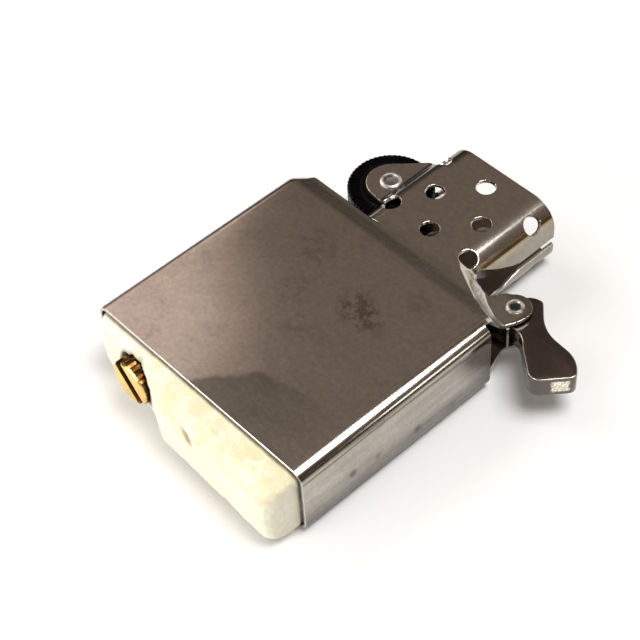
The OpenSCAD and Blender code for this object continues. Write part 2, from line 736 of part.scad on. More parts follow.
module spring_tip() {
    color([0.78, 0.64, 0.34]) {
        rod_y(tube_x, tube_z, flint_r - 0.05, tip_low, tip_low + tip_head);
        rod_y(tube_x, tube_z, spring_r - spring_wire - 0.15, tip_low - tip_stem, tip_low + 0.1);
    }
}

// One unbroken helix, six rings a turn
module flint_spring() {
    r = spring_r - spring_wire / 2;
    w = spring_wire / 2;
    rings = spring_turns * 6;
    climb = spring_high - spring_low - 2 * w;
    gap = climb / spring_turns - spring_wire;
    echo(least_gap_between_turns = gap);
    color([0.7, 0.7, 0.72]) translate([tube_x, spring_low + w, tube_z])
        loft([for (i = [0 : rings])
            let (a = i * 60, y = climb * i / rings)
                [for (k = [0 : 5]) let (b = k * 60)
                    [(r + w * cos(b)) * cos(a), y + w * sin(b), (r + w * cos(b)) * sin(a)]]]);
}

module flint_screw() {
    low = tube_low - screw_head_h;
    crest = screw_r;
    root = screw_r - thread_depth;
    first = 0.6;
    pilot = 1.2;
    threads = floor((screw_len - first - pilot) / thread_pitch);
    color([0.84, 0.68, 0.36]) translate([tube_x, tube_low, tube_z]) rotate([-90, 0, 0]) {
        rotate_extrude() polygon(concat(
            [[0, -0.1], [crest, -0.1], [crest, first]],
            [for (i = [0 : threads - 1]) each [
                [root, first + (i + 0.35) * thread_pitch], [root, first + (i + 0.55) * thread_pitch],
                [crest, first + (i + 0.9) * thread_pitch], [crest, first + (i + 1) * thread_pitch]]],
            [[crest - 0.35, screw_len], [0, screw_len]]));
        translate([0, 0, -screw_head_h]) difference() {
            intersection() {
                linear_extrude(height = screw_head_h) polygon([
                    for (i = [0 : 2 * knurl_count - 1])
                        let (a = i * 180 / knurl_count, r = screw_head_r - (i % 2) * knurl_depth)
                            [r * cos(a), r * sin(a)]]);
                cylinder(r1 = screw_head_r - 0.25, r2 = screw_head_r + screw_head_h - 0.25,
                    h = screw_head_h);
            }
            rotate([0, 0, slot_turn]) translate([-screw_head_r - 1, -slot_w / 2, -1])
                cube([2 * screw_head_r + 2, slot_w, slot_depth + 1]);
        }
    }
}

// How far the felt's face stands out at a place along it: low round the screw, then bulging
function felt_out(x) =
    let (
        u = (x + half_w) / tank_w,
        s = min(max((u - 0.29) / 0.13, 0), 1),
        blend = s * s * (3 - 2 * s))
        felt_out_low + (felt_out_high - felt_out_low) * blend * (0.66 + 0.34 * u);

// One slice of the felt across its length, with its two outer edges rounded
function felt_slice(x, pinch) =
    let (
        out = felt_out(x) - pinch,
        d = tank_d - 2 * sheet - 2 * soft_gap - pinch * 0.6,
        e = min(felt_edge, felt_in + out - 0.1),
        crown = 0.25)
        concat(
            [[x, felt_top, mid_z - d / 2], [x, felt_top, mid_z + d / 2]],
            [for (k = [0 : 4]) let (a = k * 22.5)
                [x, mouth_y - out + e * (1 - sin(a)) + crown * (1 - sin(a)),
                    mid_z + d / 2 - e * (1 - cos(a))]],
            [[x, mouth_y - out - crown, mid_z]],
            [for (k = [0 : 4]) let (a = 90 - k * 22.5)
                [x, mouth_y - out + e * (1 - sin(a)) + crown * (1 - sin(a)),
                    mid_z - d / 2 + e * (1 - cos(a))]]);

module felt_pad() {
    end = half_w - sheet - soft_gap;
    r = felt_edge;
    xs = concat(
        [for (k = [0 : 3]) [-end + r * (1 - cos(k * 30)), 0.85 * r * (1 - sin(k * 30))]],
        [for (k = [1 : 11]) [-end + r + (2 * end - 2 * r) * k / 12, 0]],
        [for (k = [3 : -1 : 0]) [end - r * (1 - cos(k * 30)), r * (1 - sin(k * 30))]]);
    slit_face = mouth_y - felt_out(slit_out);
    color([0.93, 0.89, 0.78]) difference() {
        loft([for (s = xs) felt_slice(s[0], s[1])]);
        rod_y(tube_x, tube_z, screw_head_r + soft_gap, mouth_y - 8, felt_top + 1);
        translate([slit_out, slit_face - 0.5, mid_z + slit_rise]) rotate([0, 45, 0])
            translate([-felt_slit / 2, -1, -0.22]) cube([felt_slit, 2.3, 0.44]);
    }
}

// A pressed ball of cotton: a pillow with round sides
module cotton_ball(x, y, half_x, half_y) {
    steps = 6;
    color([0.9, 0.88, 0.84]) loft([for (i = [0 : steps])
        let (
            a = 90 - 180 * i / steps,
            edge = min(cotton_t / 2, half_x, half_y) * 0.75,
            in = edge * (1 - max(cos(a), 0.12)))
            [for (k = [0 : 15]) let (b = -k * 22.5)
                [x + (half_x - in) * cos(b), y + (half_y - in) * sin(b), mid_z + cotton_t / 2 * sin(a)]]]);
}

module near_ball(i) {
    cotton_ball(near_x, near_low + near_half + i * (2 * near_half + soft_gap), cotton_half, near_half);
}

module far_ball(i) {
    cotton_ball(far_x, far_low + far_half + i * (2 * far_half + soft_gap), cotton_half, far_half);
}

module packing_1() { near_ball(0); }
module packing_2() { near_ball(1); }
module packing_3() { near_ball(2); }
module packing_4() { far_ball(1); }
module packing_5() { far_ball(0); }

insert_case();
deck_plate();
flint_tube();
flint_wheel();
wheel_rivet();
cam_lever();
cam_rivet();
cam_spring();
wick_eyelet();
wick();
wick_wires();
flint();
spring_tip();
flint_spring();
flint_screw();
felt_pad();
packing_1();
packing_2();
packing_3();
packing_4();
packing_5();
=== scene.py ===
"""Looks of a windproof lighter's inside unit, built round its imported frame.

Sizes in the settings are millimetres. Pieces are shaped in millimetres and brought to metres
when they are finished. x runs from the wheel's side to the cam's side, y from the open mouth
to the chimney's top, and z up out of the broad face that shows.
"""
import json
import math

import bmesh
import bpy
import numpy as np
from mathutils import Matrix, Vector, noise

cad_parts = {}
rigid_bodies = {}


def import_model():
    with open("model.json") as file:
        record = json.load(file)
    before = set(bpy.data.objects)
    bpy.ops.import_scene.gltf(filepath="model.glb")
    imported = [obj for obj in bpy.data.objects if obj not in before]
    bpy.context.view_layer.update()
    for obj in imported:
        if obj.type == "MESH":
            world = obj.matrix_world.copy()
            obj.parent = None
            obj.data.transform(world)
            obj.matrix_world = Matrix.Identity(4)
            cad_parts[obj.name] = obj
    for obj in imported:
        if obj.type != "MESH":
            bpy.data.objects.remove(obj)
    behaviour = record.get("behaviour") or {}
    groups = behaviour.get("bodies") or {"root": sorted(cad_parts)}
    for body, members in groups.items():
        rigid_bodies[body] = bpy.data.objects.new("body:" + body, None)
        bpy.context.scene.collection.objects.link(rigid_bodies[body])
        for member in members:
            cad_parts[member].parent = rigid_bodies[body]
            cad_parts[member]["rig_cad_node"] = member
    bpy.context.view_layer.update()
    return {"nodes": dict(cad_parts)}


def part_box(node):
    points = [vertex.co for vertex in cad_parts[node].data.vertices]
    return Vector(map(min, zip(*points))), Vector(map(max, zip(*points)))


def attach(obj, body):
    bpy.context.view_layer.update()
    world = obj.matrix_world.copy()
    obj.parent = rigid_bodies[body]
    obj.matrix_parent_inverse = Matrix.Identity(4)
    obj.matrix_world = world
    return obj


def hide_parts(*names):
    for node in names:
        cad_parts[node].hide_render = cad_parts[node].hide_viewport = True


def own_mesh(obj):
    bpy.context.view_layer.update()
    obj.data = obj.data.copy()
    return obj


bl_info = {
    "name": "Windproof lighter inside unit",
    "version": (1, 0, 0),
    "blender": (4, 5, 0),
    "location": "View3D > Sidebar > Lighter",
    "description": "Dresses the packed frame of a lighter's inside unit",
    "category": "Object",
}

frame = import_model()
NODES = frame["nodes"]
MM = 0.001


def node_mm(name):
    """The lowest and highest corners of a CAD node, in millimetres."""
    low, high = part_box(name)
    return low / MM, high / MM


CASE_LOW, CASE_HIGH = node_mm("insert_case")
WHEEL_LOW, WHEEL_HIGH = node_mm("flint_wheel")
RIVET_LOW, RIVET_HIGH = node_mm("wheel_rivet")
CAM_PIN_LOW, CAM_PIN_HIGH = node_mm("cam_rivet")
CAM_LOW, CAM_HIGH = node_mm("cam_lever")
SCREW_LOW, SCREW_HIGH = node_mm("flint_screw")
WHEEL_AT = (WHEEL_LOW + WHEEL_HIGH) / 2
CAM_AT = (CAM_PIN_LOW + CAM_PIN_HIGH) / 2
SCREW_X = round((SCREW_LOW.x + SCREW_HIGH.x) / 2, 3)
SCREW_Z = round((SCREW_LOW.z + SCREW_HIGH.z) / 2, 3)

# Levels of the case: the open mouth, where the shoulder starts and ends, the rim and the chimney's top
MID_Z = round((CASE_LOW.z + CASE_HIGH.z) / 2, 3)
MOUTH_Y = round(CASE_LOW.y, 3)
SHOULDER_LOW = 14.7
SHOULDER_HIGH = 17.45
RIM_Y = 17.65
TOP_Y = round(CASE_HIGH.y, 3)
# How far the rim stands in from the tank, at the broad faces and at the sides
RIM_IN_Z = 0.8
RIM_IN_X = 1.1
CHIM_LEFT = -7.8
CHIM_RIGHT = 9.7
CHIM_X = (CHIM_LEFT + CHIM_RIGHT) / 2
# The two chimney sheets take over from the tank above this level and between these places
SEAM_Y = 14.0
SEAM_LEFT = -12.0
SEAM_RIGHT = 16.9


# Settings


def size(name, what, default, low=0.0, high=100.0):
    return bpy.props.FloatProperty(
        name=name, description=what + " in millimetres", default=default, min=low, max=high)


def tint(name, what, default):
    return bpy.props.FloatVectorProperty(
        name=name, description="Colour of " + what, default=default, subtype="COLOR", size=3,
        min=0.0, max=1.0)


class CaseSettings(bpy.types.PropertyGroup):
    sheet: size("Sheet", "Thickness of the drawn sheet", 0.45)
    edge_r: size("Edge radius", "Outer radius of the tank's upright edges", 1.7)
    chim_r: size("Chimney radius", "Outer radius of the chimney's large uprights", 3.5)
    back_r: size("Back radius", "Radius of the small upright at the back", 1.8)
    vent_r: size("Vent radius", "Radius of each vent hole", 1.25)
    worn: size("Worn edge", "Width of the rounding on the sheet's cut edges", 0.08)
    step: size("Mesh step", "Size of the sheet's cells along the bend", 0.28)
    rise: size("Mesh rise", "Height of the sheet's cells", 0.16)


class FinishSettings(bpy.types.PropertyGroup):
    steel: tint("Case steel", "the case's sheet", (0.60, 0.565, 0.52))
    # painted shade: the sheet's inner side is a dark copy of the steel's colour
    inside: tint("Inside", "the sheet's inner side", (0.19, 0.155, 0.125))
    cut: tint("Cut edge", "bare cut edges", (0.66, 0.63, 0.59))
    bright: tint("Bright steel", "springs and plates", (0.70, 0.68, 0.65))
    rivet: tint("Rivet", "the rivets", (0.56, 0.55, 0.535))
    dark: tint("Dark steel", "the cam", (0.145, 0.118, 0.100))
    black: tint("Blackened steel", "the flint wheel", (0.0025, 0.0025, 0.003))
    brass: tint("Brass", "the screw and tube", (0.88, 0.62, 0.20))
    felt: tint("Felt", "the felt", (0.95, 0.93, 0.77))
    cotton: tint("Cotton", "the packing", (0.88, 0.86, 0.80))
    wick: tint("Wick", "the braid", (0.52, 0.46, 0.28))
    copper: tint("Copper", "the wires", (0.80, 0.42, 0.24))
    flint: tint("Flint", "the flint alloy", (0.34, 0.33, 0.33))
    floor: tint("Floor", "the floor", (0.82, 0.825, 0.82))


class StageSettings(bpy.types.PropertyGroup):
    camera_at: bpy.props.FloatVectorProperty(
        name="Camera place", description="Place of the camera in metres", subtype="TRANSLATION",
        default=(0.104114, -0.0824804, 0.1635028), size=3)
    camera_turn: bpy.props.FloatVectorProperty(
        name="Camera turn", description="Turn of the camera", subtype="EULER", unit="ROTATION",
        default=(math.radians(40.64), math.radians(2.741), math.radians(47.18)), size=3)
    lens: size("Lens", "Focal length of the camera", 97.127, 1.0, 400.0)


# Modelling helpers


def link(name, data):
    """A new object for some data, in the scene."""
    obj = bpy.data.objects.new(name, data)
    bpy.context.scene.collection.objects.link(obj)
    return obj


def move(obj, at):
    """Moves an object's mesh and leaves the object's own place alone."""
    obj.data.transform(Matrix.Translation(at))


def select_none():
    """Leaves edit mode and selects nothing."""
    if bpy.context.object and bpy.context.object.mode != "OBJECT":
        bpy.ops.object.mode_set(mode="OBJECT")
    bpy.ops.object.select_all(action="DESELECT")


def take(*objects):
    """Selects only these objects, with the first one active."""
    select_none()
    for obj in objects:
        obj.select_set(True)
    bpy.context.view_layer.objects.active = objects[0]


def add(kind, location=(0, 0, 0), **how):
    """Adds one of Blender's primitives with its place in its mesh."""
    select_none()
    getattr(bpy.ops.mesh, f"primitive_{kind}_add")(location=location, **how)
    bpy.ops.object.transform_apply(location=True, rotation=True, scale=True)
    return bpy.context.object


def pick(obj, mode, test):
    """Enters edit mode with what passes the test selected."""
    take(obj)
    bpy.ops.object.mode_set(mode="EDIT")
    bpy.ops.mesh.select_mode(type=mode)
    bpy.ops.mesh.select_all(action="DESELECT")
    bm = bmesh.from_edit_mesh(obj.data)
    bm.normal_update()
    for item in {"VERT": bm.verts, "EDGE": bm.edges, "FACE": bm.faces}[mode]:
        if test(item):
            item.select_set(True)
    bm.select_flush_mode()
    bmesh.update_edit_mesh(obj.data)


def leave():
    bpy.ops.object.mode_set(mode="OBJECT")


def everything(item):
    return True


def face_out():
    """Turns all the faces of the mesh in edit mode outwards."""
    bpy.ops.mesh.select_all(action="SELECT")
    bpy.ops.mesh.normals_make_consistent(inside=False)


def flip(obj):
    pick(obj, "FACE", everything)
    bpy.ops.mesh.flip_normals()
    leave()


def thicken(obj, height):
    """Makes a flat face into a solid by moving a copy of it up."""
    pick(obj, "FACE", everything)
    bpy.ops.mesh.extrude_region_move(TRANSFORM_OT_translate={"value": (0, 0, height)})
    face_out()
    leave()


def next_ring(move, scale, centre):
    """Extrudes the selected ring by a move, and scales it round its new centre."""
    bpy.ops.mesh.extrude_edges_move(TRANSFORM_OT_translate={"value": move})
    bpy.ops.transform.resize(value=scale, center_override=centre)


def modify(obj, kind, **values):
    """Adds a modifier and applies it."""
    take(obj)
    mod = obj.modifiers.new(kind.title(), kind)
    for key, value in values.items():
        setattr(mod, key, value)
    bpy.ops.object.modifier_apply(modifier=mod.name)


def cut(obj, tool, operation="DIFFERENCE"):
    modify(obj, "BOOLEAN", operation=operation, object=tool, solver="EXACT")
    bpy.data.objects.remove(tool)


def join(first, *others):
    take(first, *others)
    bpy.ops.object.join()
    return first


def outline(points, low, high):
    """A solid of one outline in x and y between two heights."""
    obj = add("circle", vertices=len(points), radius=1, fill_type="NGON")
    for vert, point in zip(obj.data.vertices, points):
        vert.co = (*point, low)
    thicken(obj, high - low)
    return obj


def arc(cx, cy, r, a0, a1, n):
    turns = [math.radians(a0 + (a1 - a0) * i / n) for i in range(n + 1)]
    return [(cx + r * math.cos(a), cy + r * math.sin(a)) for a in turns]


def lathe(profile, at, sides=40):
    """Turns a profile of (radius, height) pairs round z, by extruding one circle."""
    least = 1e-4
    rings = [(max(r, least), z) for r, z in profile]
    obj = add("circle", vertices=sides, radius=rings[0][0], location=(0, 0, rings[0][1]))
    pick(obj, "VERT", everything)
    for (last_r, last_z), (r, z) in zip(rings, rings[1:]):
        next_ring((0, 0, z - last_z), (r / last_r, r / last_r, 1), (0, 0, z))
    bpy.ops.mesh.select_all(action="SELECT")
    # a closed profile meets itself, and an open one is closed on the axis by merging its end rings
    bpy.ops.mesh.remove_doubles(threshold=1e-5 if profile[0] == profile[-1] else 1e-3)
    face_out()
    leave()
    move(obj, at)
    return obj


def finish(obj, name, body, nodes, angle=32.0):
    """Brings a piece to metres, smooths it and hangs it in the frame."""
    take(obj)
    obj.data.transform(Matrix.Scale(MM, 4))
    obj.name = name
    obj.data.name = name
    bpy.ops.object.shade_smooth_by_angle(angle=math.radians(angle))
    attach(obj, body)
    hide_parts(*nodes)


def dress(obj, *materials):
    """Gives an object its materials, first one first."""
    if obj.data.users > 1:
        raise RuntimeError(f"{obj.name} shares its mesh")
    if obj.data.materials and "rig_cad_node" in obj:
        for place in obj.material_slots:
            place.link = "OBJECT"
            place.material = materials[0]
        return
    obj.data.materials.clear()
    for material in materials:
        obj.data.materials.append(material)


# Materials


class Tree:
    """A short hand for laying out one node tree."""

    def __init__(self, tree):
        self.tree = tree

    def node(self, kind, inputs=(), **values):
        node = self.tree.nodes.new(kind)
        for key, value in values.items():
            setattr(node, key, value)
        self.fill(node, dict(inputs))
        return node

    def fill(self, node, inputs):
        for key, value in inputs.items():
            self.put(node.inputs[key], value)

    def put(self, socket, value):
        if isinstance(value, bpy.types.NodeSocket):
            self.tree.links.new(value, socket)
        elif isinstance(value, (tuple, list)) and len(value) == 3 and socket.type == "RGBA":
            socket.default_value = (*value, 1.0)
        else:
            socket.default_value = value

    def here(self):
        """The place on the object, in metres."""
        return self.node("ShaderNodeTexCoord").outputs["Object"]

    def noise(self, at, scale, detail, rough, distort=0.0):
        return self.node("ShaderNodeTexNoise", {
            "Vector": at, "Scale": scale, "Detail": detail, "Roughness": rough,
            "Distortion": distort}).outputs["Fac"]

    def drawn_out(self, scale, detail, rough):
        """Noise drawn out into lines by a scale for each axis."""
        at = self.node("ShaderNodeMapping", {"Vector": self.here(), "Scale": scale})
        return self.noise(at.outputs["Vector"], 1.0, detail, rough)

    def spread(self, value, low, high, new_low=0.0, new_high=1.0):
        return self.node("ShaderNodeMapRange", {
            "Value": value, "From Min": low, "From Max": high, "To Min": new_low,
            "To Max": new_high}, interpolation_type="SMOOTHSTEP").outputs["Result"]

    def math(self, operation, a, b=0.0, clamp=False):
        return self.node("ShaderNodeMath", {0: a, 1: b}, operation=operation, use_clamp=clamp).outputs[0]

    def add(self, a, b, clamp=False):
        return self.math("ADD", a, b, clamp)

    def less(self, a, b):
        return self.math("SUBTRACT", a, b)

    def times(self, *values):
        """The product of all the values."""
        result = values[0]
        for value in values[1:]:
            result = self.math("MULTIPLY", result, value)
        return result

    def swing(self, noise, width):
        """A noise as a swing about zero, over a width."""
        return self.times(self.less(noise, 0.5), width)

    def mix(self, factor, a, b, blend="MIX"):
        inputs = {0: factor, 6: a, 7: b}
        return self.node("ShaderNodeMix", inputs, data_type="RGBA", blend_type=blend).outputs[2]

    def cover(self, colour, paint, *masks):
        """Lays a paint over a colour where all the masks meet."""
        return self.mix(self.times(*masks), colour, paint)

    def tint(self, colour, shade, *masks):
        """Multiplies a colour by a shade where all the masks meet."""
        return self.mix(self.times(*masks), colour, shade, "MULTIPLY")

    def bump(self, strength, distance, height):
        inputs = {"Strength": strength, "Distance": distance, "Height": height}
        return self.node("ShaderNodeBump", inputs).outputs["Normal"]

    def grey(self, value, blue=1.0):
        """A value as a colour, with its blue turned down by a share."""
        node = self.node("ShaderNodeCombineXYZ", {"X": value, "Y": value, "Z": self.times(value, blue)})
        return node.outputs["Vector"]

    def split(self, vector):
        """x, y and z of a place, each in millimetres."""
        node = self.node("ShaderNodeSeparateXYZ", {"Vector": vector})
        return [self.times(out, 1 / MM) for out in node.outputs]

    def over(self, value, edge, soft):
        """1 past an edge and 0 before it."""
        return self.spread(value, edge - soft, edge + soft)

    def under(self, value, edge, soft):
        return self.spread(value, edge - soft, edge + soft, 1.0, 0.0)

    def away(self, a, b, at_a, at_b):
        """Distance in a plane from a point."""
        da, db = self.less(a, at_a), self.less(b, at_b)
        return self.math("SQRT", self.add(self.times(da, da), self.times(db, db)))


def new_material(name):
    """A new material, its node tree and its shader."""
    material = bpy.data.materials.new(name)
    material.use_nodes = True
    return material, Tree(material.node_tree), material.node_tree.nodes["Principled BSDF"]


# Each set of scratches: its turn about z, and how fast it changes along each axis
SCRATCHES = ((0.35, (130, 9000, 260)), (1.2, (190, 12000, 260)), (2.5, (90, 8000, 180)))
SPECK_COLOUR = (0.10, 0.085, 0.075)
SCRATCH_DEPTH = 1.0e-5


def wear_group():
    """Makes the node group for fine scratches, dust specks and wiped smudges of handled metal."""
    tree = bpy.data.node_groups.new("handled_metal", "ShaderNodeTree")
    for way, kind, labels in (("INPUT", "Vector", ("Vector",)),
                              ("INPUT", "Color", ("Colour", "Smudge colour")),
                              ("INPUT", "Float", ("Roughness", "Smudges", "Scratches", "Specks")),
                              ("OUTPUT", "Color", ("Colour",)),
                              ("OUTPUT", "Float", ("Roughness", "Height"))):
        for label in labels:
            tree.interface.new_socket(label, in_out=way, socket_type="NodeSocket" + kind)
    t = Tree(tree)
    given = t.node("NodeGroupInput").outputs
    at, specks = given["Vector"], given["Specks"]
    broad = t.spread(t.noise(at, 95, 4, 0.55, 0.6), 0.42, 0.66)
    wiped = t.spread(t.noise(at, 420, 6, 0.62, 0.5), 0.38, 0.78)
    smudge = t.add(t.times(broad, 0.7), t.times(wiped, 0.4))
    smudge = t.math("MULTIPLY", smudge, given["Smudges"], True)
    clear = t.spread(t.noise(at, 130, 3, 0.6), 0.45, 0.62)
    speck = t.times(t.spread(t.noise(at, 2700, 2, 0.5, 0.4), 0.71, 0.77), clear, specks)
    lines = []
    for turn, scale in SCRATCHES:
        turned = t.node("ShaderNodeMapping", {"Vector": at, "Rotation": (0, 0, turn), "Scale": scale})
        lines.append(t.spread(t.noise(turned.outputs["Vector"], 1.0, 1, 0.3), 0.73, 0.77))
    scratch = t.math("MAXIMUM", lines[0], t.math("MAXIMUM", lines[1], lines[2]))
    scratch = t.times(scratch, given["Scratches"])
    colour = t.mix(smudge, given["Colour"], given["Smudge colour"])
    grain = t.add(0.5, t.spread(t.noise(at, 1500, 3, 0.7), 0.25, 0.75))
    colour = t.tint(colour, t.grey(grain), specks, 0.22)
    colour = t.cover(colour, SPECK_COLOUR, speck, 0.75)
    fine = t.noise(at, 5200, 2, 0.6)
    rough = t.add(given["Roughness"], t.times(smudge, 0.10))
    rough = t.add(rough, t.times(scratch, 0.12))
    rough = t.add(rough, t.swing(fine, 0.08))
    rough = t.add(rough, t.times(speck, 0.25), True)
    height = t.add(t.less(t.times(fine, 0.25), scratch), t.times(speck, 0.5))
    t.node("NodeGroupOutput", {"Colour": colour, "Roughness": rough, "Height": height})


def metal(name, colour, smudge, rough, smudges, scratches, specks, bump=0.02):
    material, t, shader = new_material(name)
    wear = t.node("ShaderNodeGroup", node_tree=bpy.data.node_groups["handled_metal"])
    t.fill(wear, {"Vector": t.here(), "Colour": colour, "Smudge colour": smudge, "Roughness": rough,
                  "Smudges": smudges, "Scratches": scratches, "Specks": specks})
    worn = wear.outputs
    t.fill(shader, {"Metallic": 1.0, "Base Color": worn["Colour"], "Roughness": worn["Roughness"],
                    "Normal": t.bump(bump, SCRATCH_DEPTH, worn["Height"])})
    return material


def paint_over(material, paint):
    """Lays a function's stains and painted shade between a material's colour and its shader."""
    t = Tree(material.node_tree)
    shader = material.node_tree.nodes["Principled BSDF"]
    colour = shader.inputs["Base Color"].links[0].from_socket
    at = t.here()
    t.put(shader.inputs["Base Color"], paint(t, colour, at, *t.split(at)))


# Dark spots: x, y, radius and how dark on the face, then y, z, radius and how dark on the side
FACE_SPOTS = ((4.3, 6.0, 2.2, 0.75), (6.6, 5.2, 1.8, 0.7), (-3.0, 2.5, 2.2, 0.35), (9.5, 12.0, 1.8, 0.3),
              (-6.0, 9.0, 2.6, 0.3), (1.5, -1.0, 2.0, 0.3))
SIDE_SPOTS = ((2.2, 3.2, 0.5, 0.8), (-8.0, 4.3, 0.5, 0.75), (-4.1, 3.9, 0.35, 0.5), (8.0, 2.2, 0.6, 0.4))
# The finger mark's middle in x and y, and its radius
MARK_X, MARK_Y, MARK_R = 10.5, -19.0, 12.0


def face_stains(t, colour, at, x, y, z):
    """A wiped finger mark at the low right, a cooler, slightly darker band past the shoulder, dark spots and
    faint clouds.
    """
    wave = t.swing(t.noise(at, 300, 3, 0.6), 3.0)
    face = t.over(z, 10.2, 0.2)
    mark = t.times(t.under(t.add(t.away(x, y, MARK_X, MARK_Y), wave), MARK_R, 0.5), face)
    colour = t.tint(colour, (0.80, 0.85, 0.85), mark, t.under(x, 12.0, 5.0), 0.95)
    colour = t.tint(colour, (0.60, 0.60, 0.585), mark, t.under(x, 5.5, 6.0))
    # a cooler, slightly darker band past the shoulder
    colour = t.tint(colour, (0.84, 0.90, 0.89), t.over(y, 16.7, 0.4), t.under(y, 18.3, 0.5), 0.8)
    mottle = t.spread(t.noise(at, 900, 4, 0.7, 0.6), 0.42, 0.60)
    for spot_x, spot_y, r, deep in FACE_SPOTS:
        spot = t.under(t.add(t.away(x, y, spot_x, spot_y), wave), r, 1.3)
        colour = t.cover(colour, (0.22, 0.19, 0.17), spot, mottle, face, deep)
    cloud = t.spread(t.noise(at, 240, 6, 0.72, 0.4), 0.50, 0.74)
    return t.tint(colour, (0.68, 0.66, 0.66), cloud, face, 0.42)


def side_shade_reflections_and_spots(t, colour, at, x, y, z, streak):
    """Painted reflection lines along the near rounded edge, painted shade that darkens the streaked side
    towards the bottom, and a painted dark reflection on the far edge.
    """
    # painted reflection: fine dark lines along the near rounded edge
    lines = t.spread(t.drawn_out((2600, 26, 2600), 2, 0.5), 0.47, 0.58)
    colour = t.tint(colour, (0.42, 0.35, 0.30), lines, t.over(x, 15.9, 0.15), t.over(z, 8.6, 0.2),
                    t.under(y, 15.0, 0.5), 0.75)
    # painted dark reflection along the far rounded edge, in bluish grey
    colour = t.tint(colour, (0.36, 0.39, 0.42), t.under(x, -16.75, 0.3), t.over(z, 8.6, 0.3),
                    t.under(y, 16.5, 0.6), 0.9)
    side = t.over(x, 17.2, 0.3)
    # painted shade: the side is darker towards the bottom, with streaks
    height = t.add(t.spread(z, 0.5, 5.5, 0.20, 0.72), t.spread(z, 5.0, 9.5, 0.0, 0.08))
    side_shade_and_streaks = t.add(height, t.swing(streak, 0.5))
    colour = t.tint(colour, t.grey(side_shade_and_streaks, 0.97), side)
    wave = t.swing(t.noise(at, 300, 3, 0.6), 1.5)
    for spot_y, spot_z, r, deep in SIDE_SPOTS:
        spot = t.under(t.add(t.away(y, z, spot_y, spot_z), wave), r, 0.4)
        colour = t.cover(colour, (0.10, 0.075, 0.055), spot, side, deep)
    return colour


def case_stains_and_shade(t, colour, at, x, y, z):
    streak = t.drawn_out((900, 45, 900), 3, 0.6)
    colour = face_stains(t, colour, at, x, y, z)
    colour = side_shade_reflections_and_spots(t, colour, at, x, y, z, streak)
    # painted shade: the fold to the wheel's ear and the flap over it are darkened
    bent = t.times(t.under(x, -5.6, 0.3), t.over(x, -7.8, 0.1), t.over(y, 20.0, 0.3))
    flap = t.times(t.under(x, -4.9, 0.5), t.over(y, 31.7, 0.3))
    colour = t.tint(colour, (0.36, 0.38, 0.36), t.math("MAXIMUM", bent, flap), 0.95)
    # a gold heat line along the chimney's round end, and a greenish tint under it
    end = t.times(t.over(x, 8.3, 0.2), t.over(y, 21.5, 0.6))
    colour = t.cover(colour, (0.46, 0.33, 0.15), end, t.over(z, 7.7, 0.25), t.under(z, 8.75, 0.15),
                     t.spread(streak, 0.3, 0.6, 0.8, 1.0), 0.9)
    return t.tint(colour, (0.54, 0.535, 0.48), end, t.under(z, 7.7, 0.3), 0.9)


def cam_stains(t, colour, at, x, y, z):
    """A duller foot, and a pale sheared patch across its end."""
    colour = t.cover(colour, (0.13, 0.122, 0.108), t.over(x, 20.5, 1.0), t.under(z, 6.6, 0.1), 0.75)
    ragged = t.swing(t.noise(at, 2600, 3, 0.6), 0.5)
    out, high = t.add(x, ragged), t.add(z, ragged)
    along = t.add(t.less(y, t.times(x, 1.16)), ragged)
    pale = t.mix(t.spread(t.noise(at, 4200, 3, 0.7), 0.42, 0.58), (1.0, 0.97, 0.86), (0.50, 0.44, 0.30))
    return t.cover(colour, pale, t.over(out, 25.9, 0.12), t.under(out, 27.2, 0.12),
                   t.under(along, -13.2, 0.2), t.under(high, 6.2, 0.15), t.over(high, 4.4, 0.15))


def felt_stains_and_shade(t, colour, at, x, y, z):
    """Yellowed along the upper edge, grime with painted shade round the screw and in the slit, and painted
    shade in the mouth.
    """
    ragged = t.swing(t.noise(at, 500, 4, 0.65), 2.4)
    colour = t.cover(colour, (0.66, 0.55, 0.24), t.over(t.add(z, ragged), 8.3, 1.6), t.over(x, -9.0, 3.0),
                     t.spread(t.noise(at, 450, 5, 0.7), 0.22, 0.62), 0.55)
    colour = t.cover(colour, (0.84, 0.78, 0.50), t.spread(t.noise(at, 380, 5, 0.65), 0.46, 0.72), 0.3)
    # grime and painted shade: a dark ring in the felt round the screw's head
    hole = t.under(t.add(t.away(x, z, SCREW_X, SCREW_Z), t.times(ragged, 0.3)), 3.8, 0.35)
    colour = t.cover(colour, (0.26, 0.20, 0.11), hole, 0.85)
    # the slit lies aslant, so it is narrow in x plus z and long in x less z
    aslant = t.away(t.add(x, z), t.times(t.less(x, z), 0.5), SLIT_X + SLIT_Z, (SLIT_X - SLIT_Z) / 2)
    # grime and painted shade in the slit's hollow
    slit = t.under(t.add(aslant, t.times(ragged, 0.15)), 0.85, 0.40)
    colour = t.cover(colour, (0.50, 0.40, 0.22), slit, 0.9)
    # painted shade on the felt inside the mouth, under the case's lip
    return t.cover(colour, (0.22, 0.19, 0.13), t.over(y, MOUTH_Y - 0.1, 0.25), 0.8)


def screw_darkening(t, colour, at, x, y, z):
    """Darkens the knurling round the screw's head nearly to black, and the bottom of its slot to a dark
    red-brown.
    """
    out = t.away(x, z, SCREW_X, SCREW_Z)
    grain = t.spread(t.noise(at, 5200, 3, 0.7), 0.36, 0.56, 0.6, 1.0)
    colour = t.cover(colour, (0.055, 0.028, 0.010), t.over(out, 2.93, 0.05), t.over(y, -18.25, 0.1),
                     grain, 0.95)
    return t.cover(colour, (0.13, 0.040, 0.008), t.under(out, 3.3, 0.1), t.over(y, -18.0, 0.2),
                   t.under(y, -17.3, 0.05), 0.85)


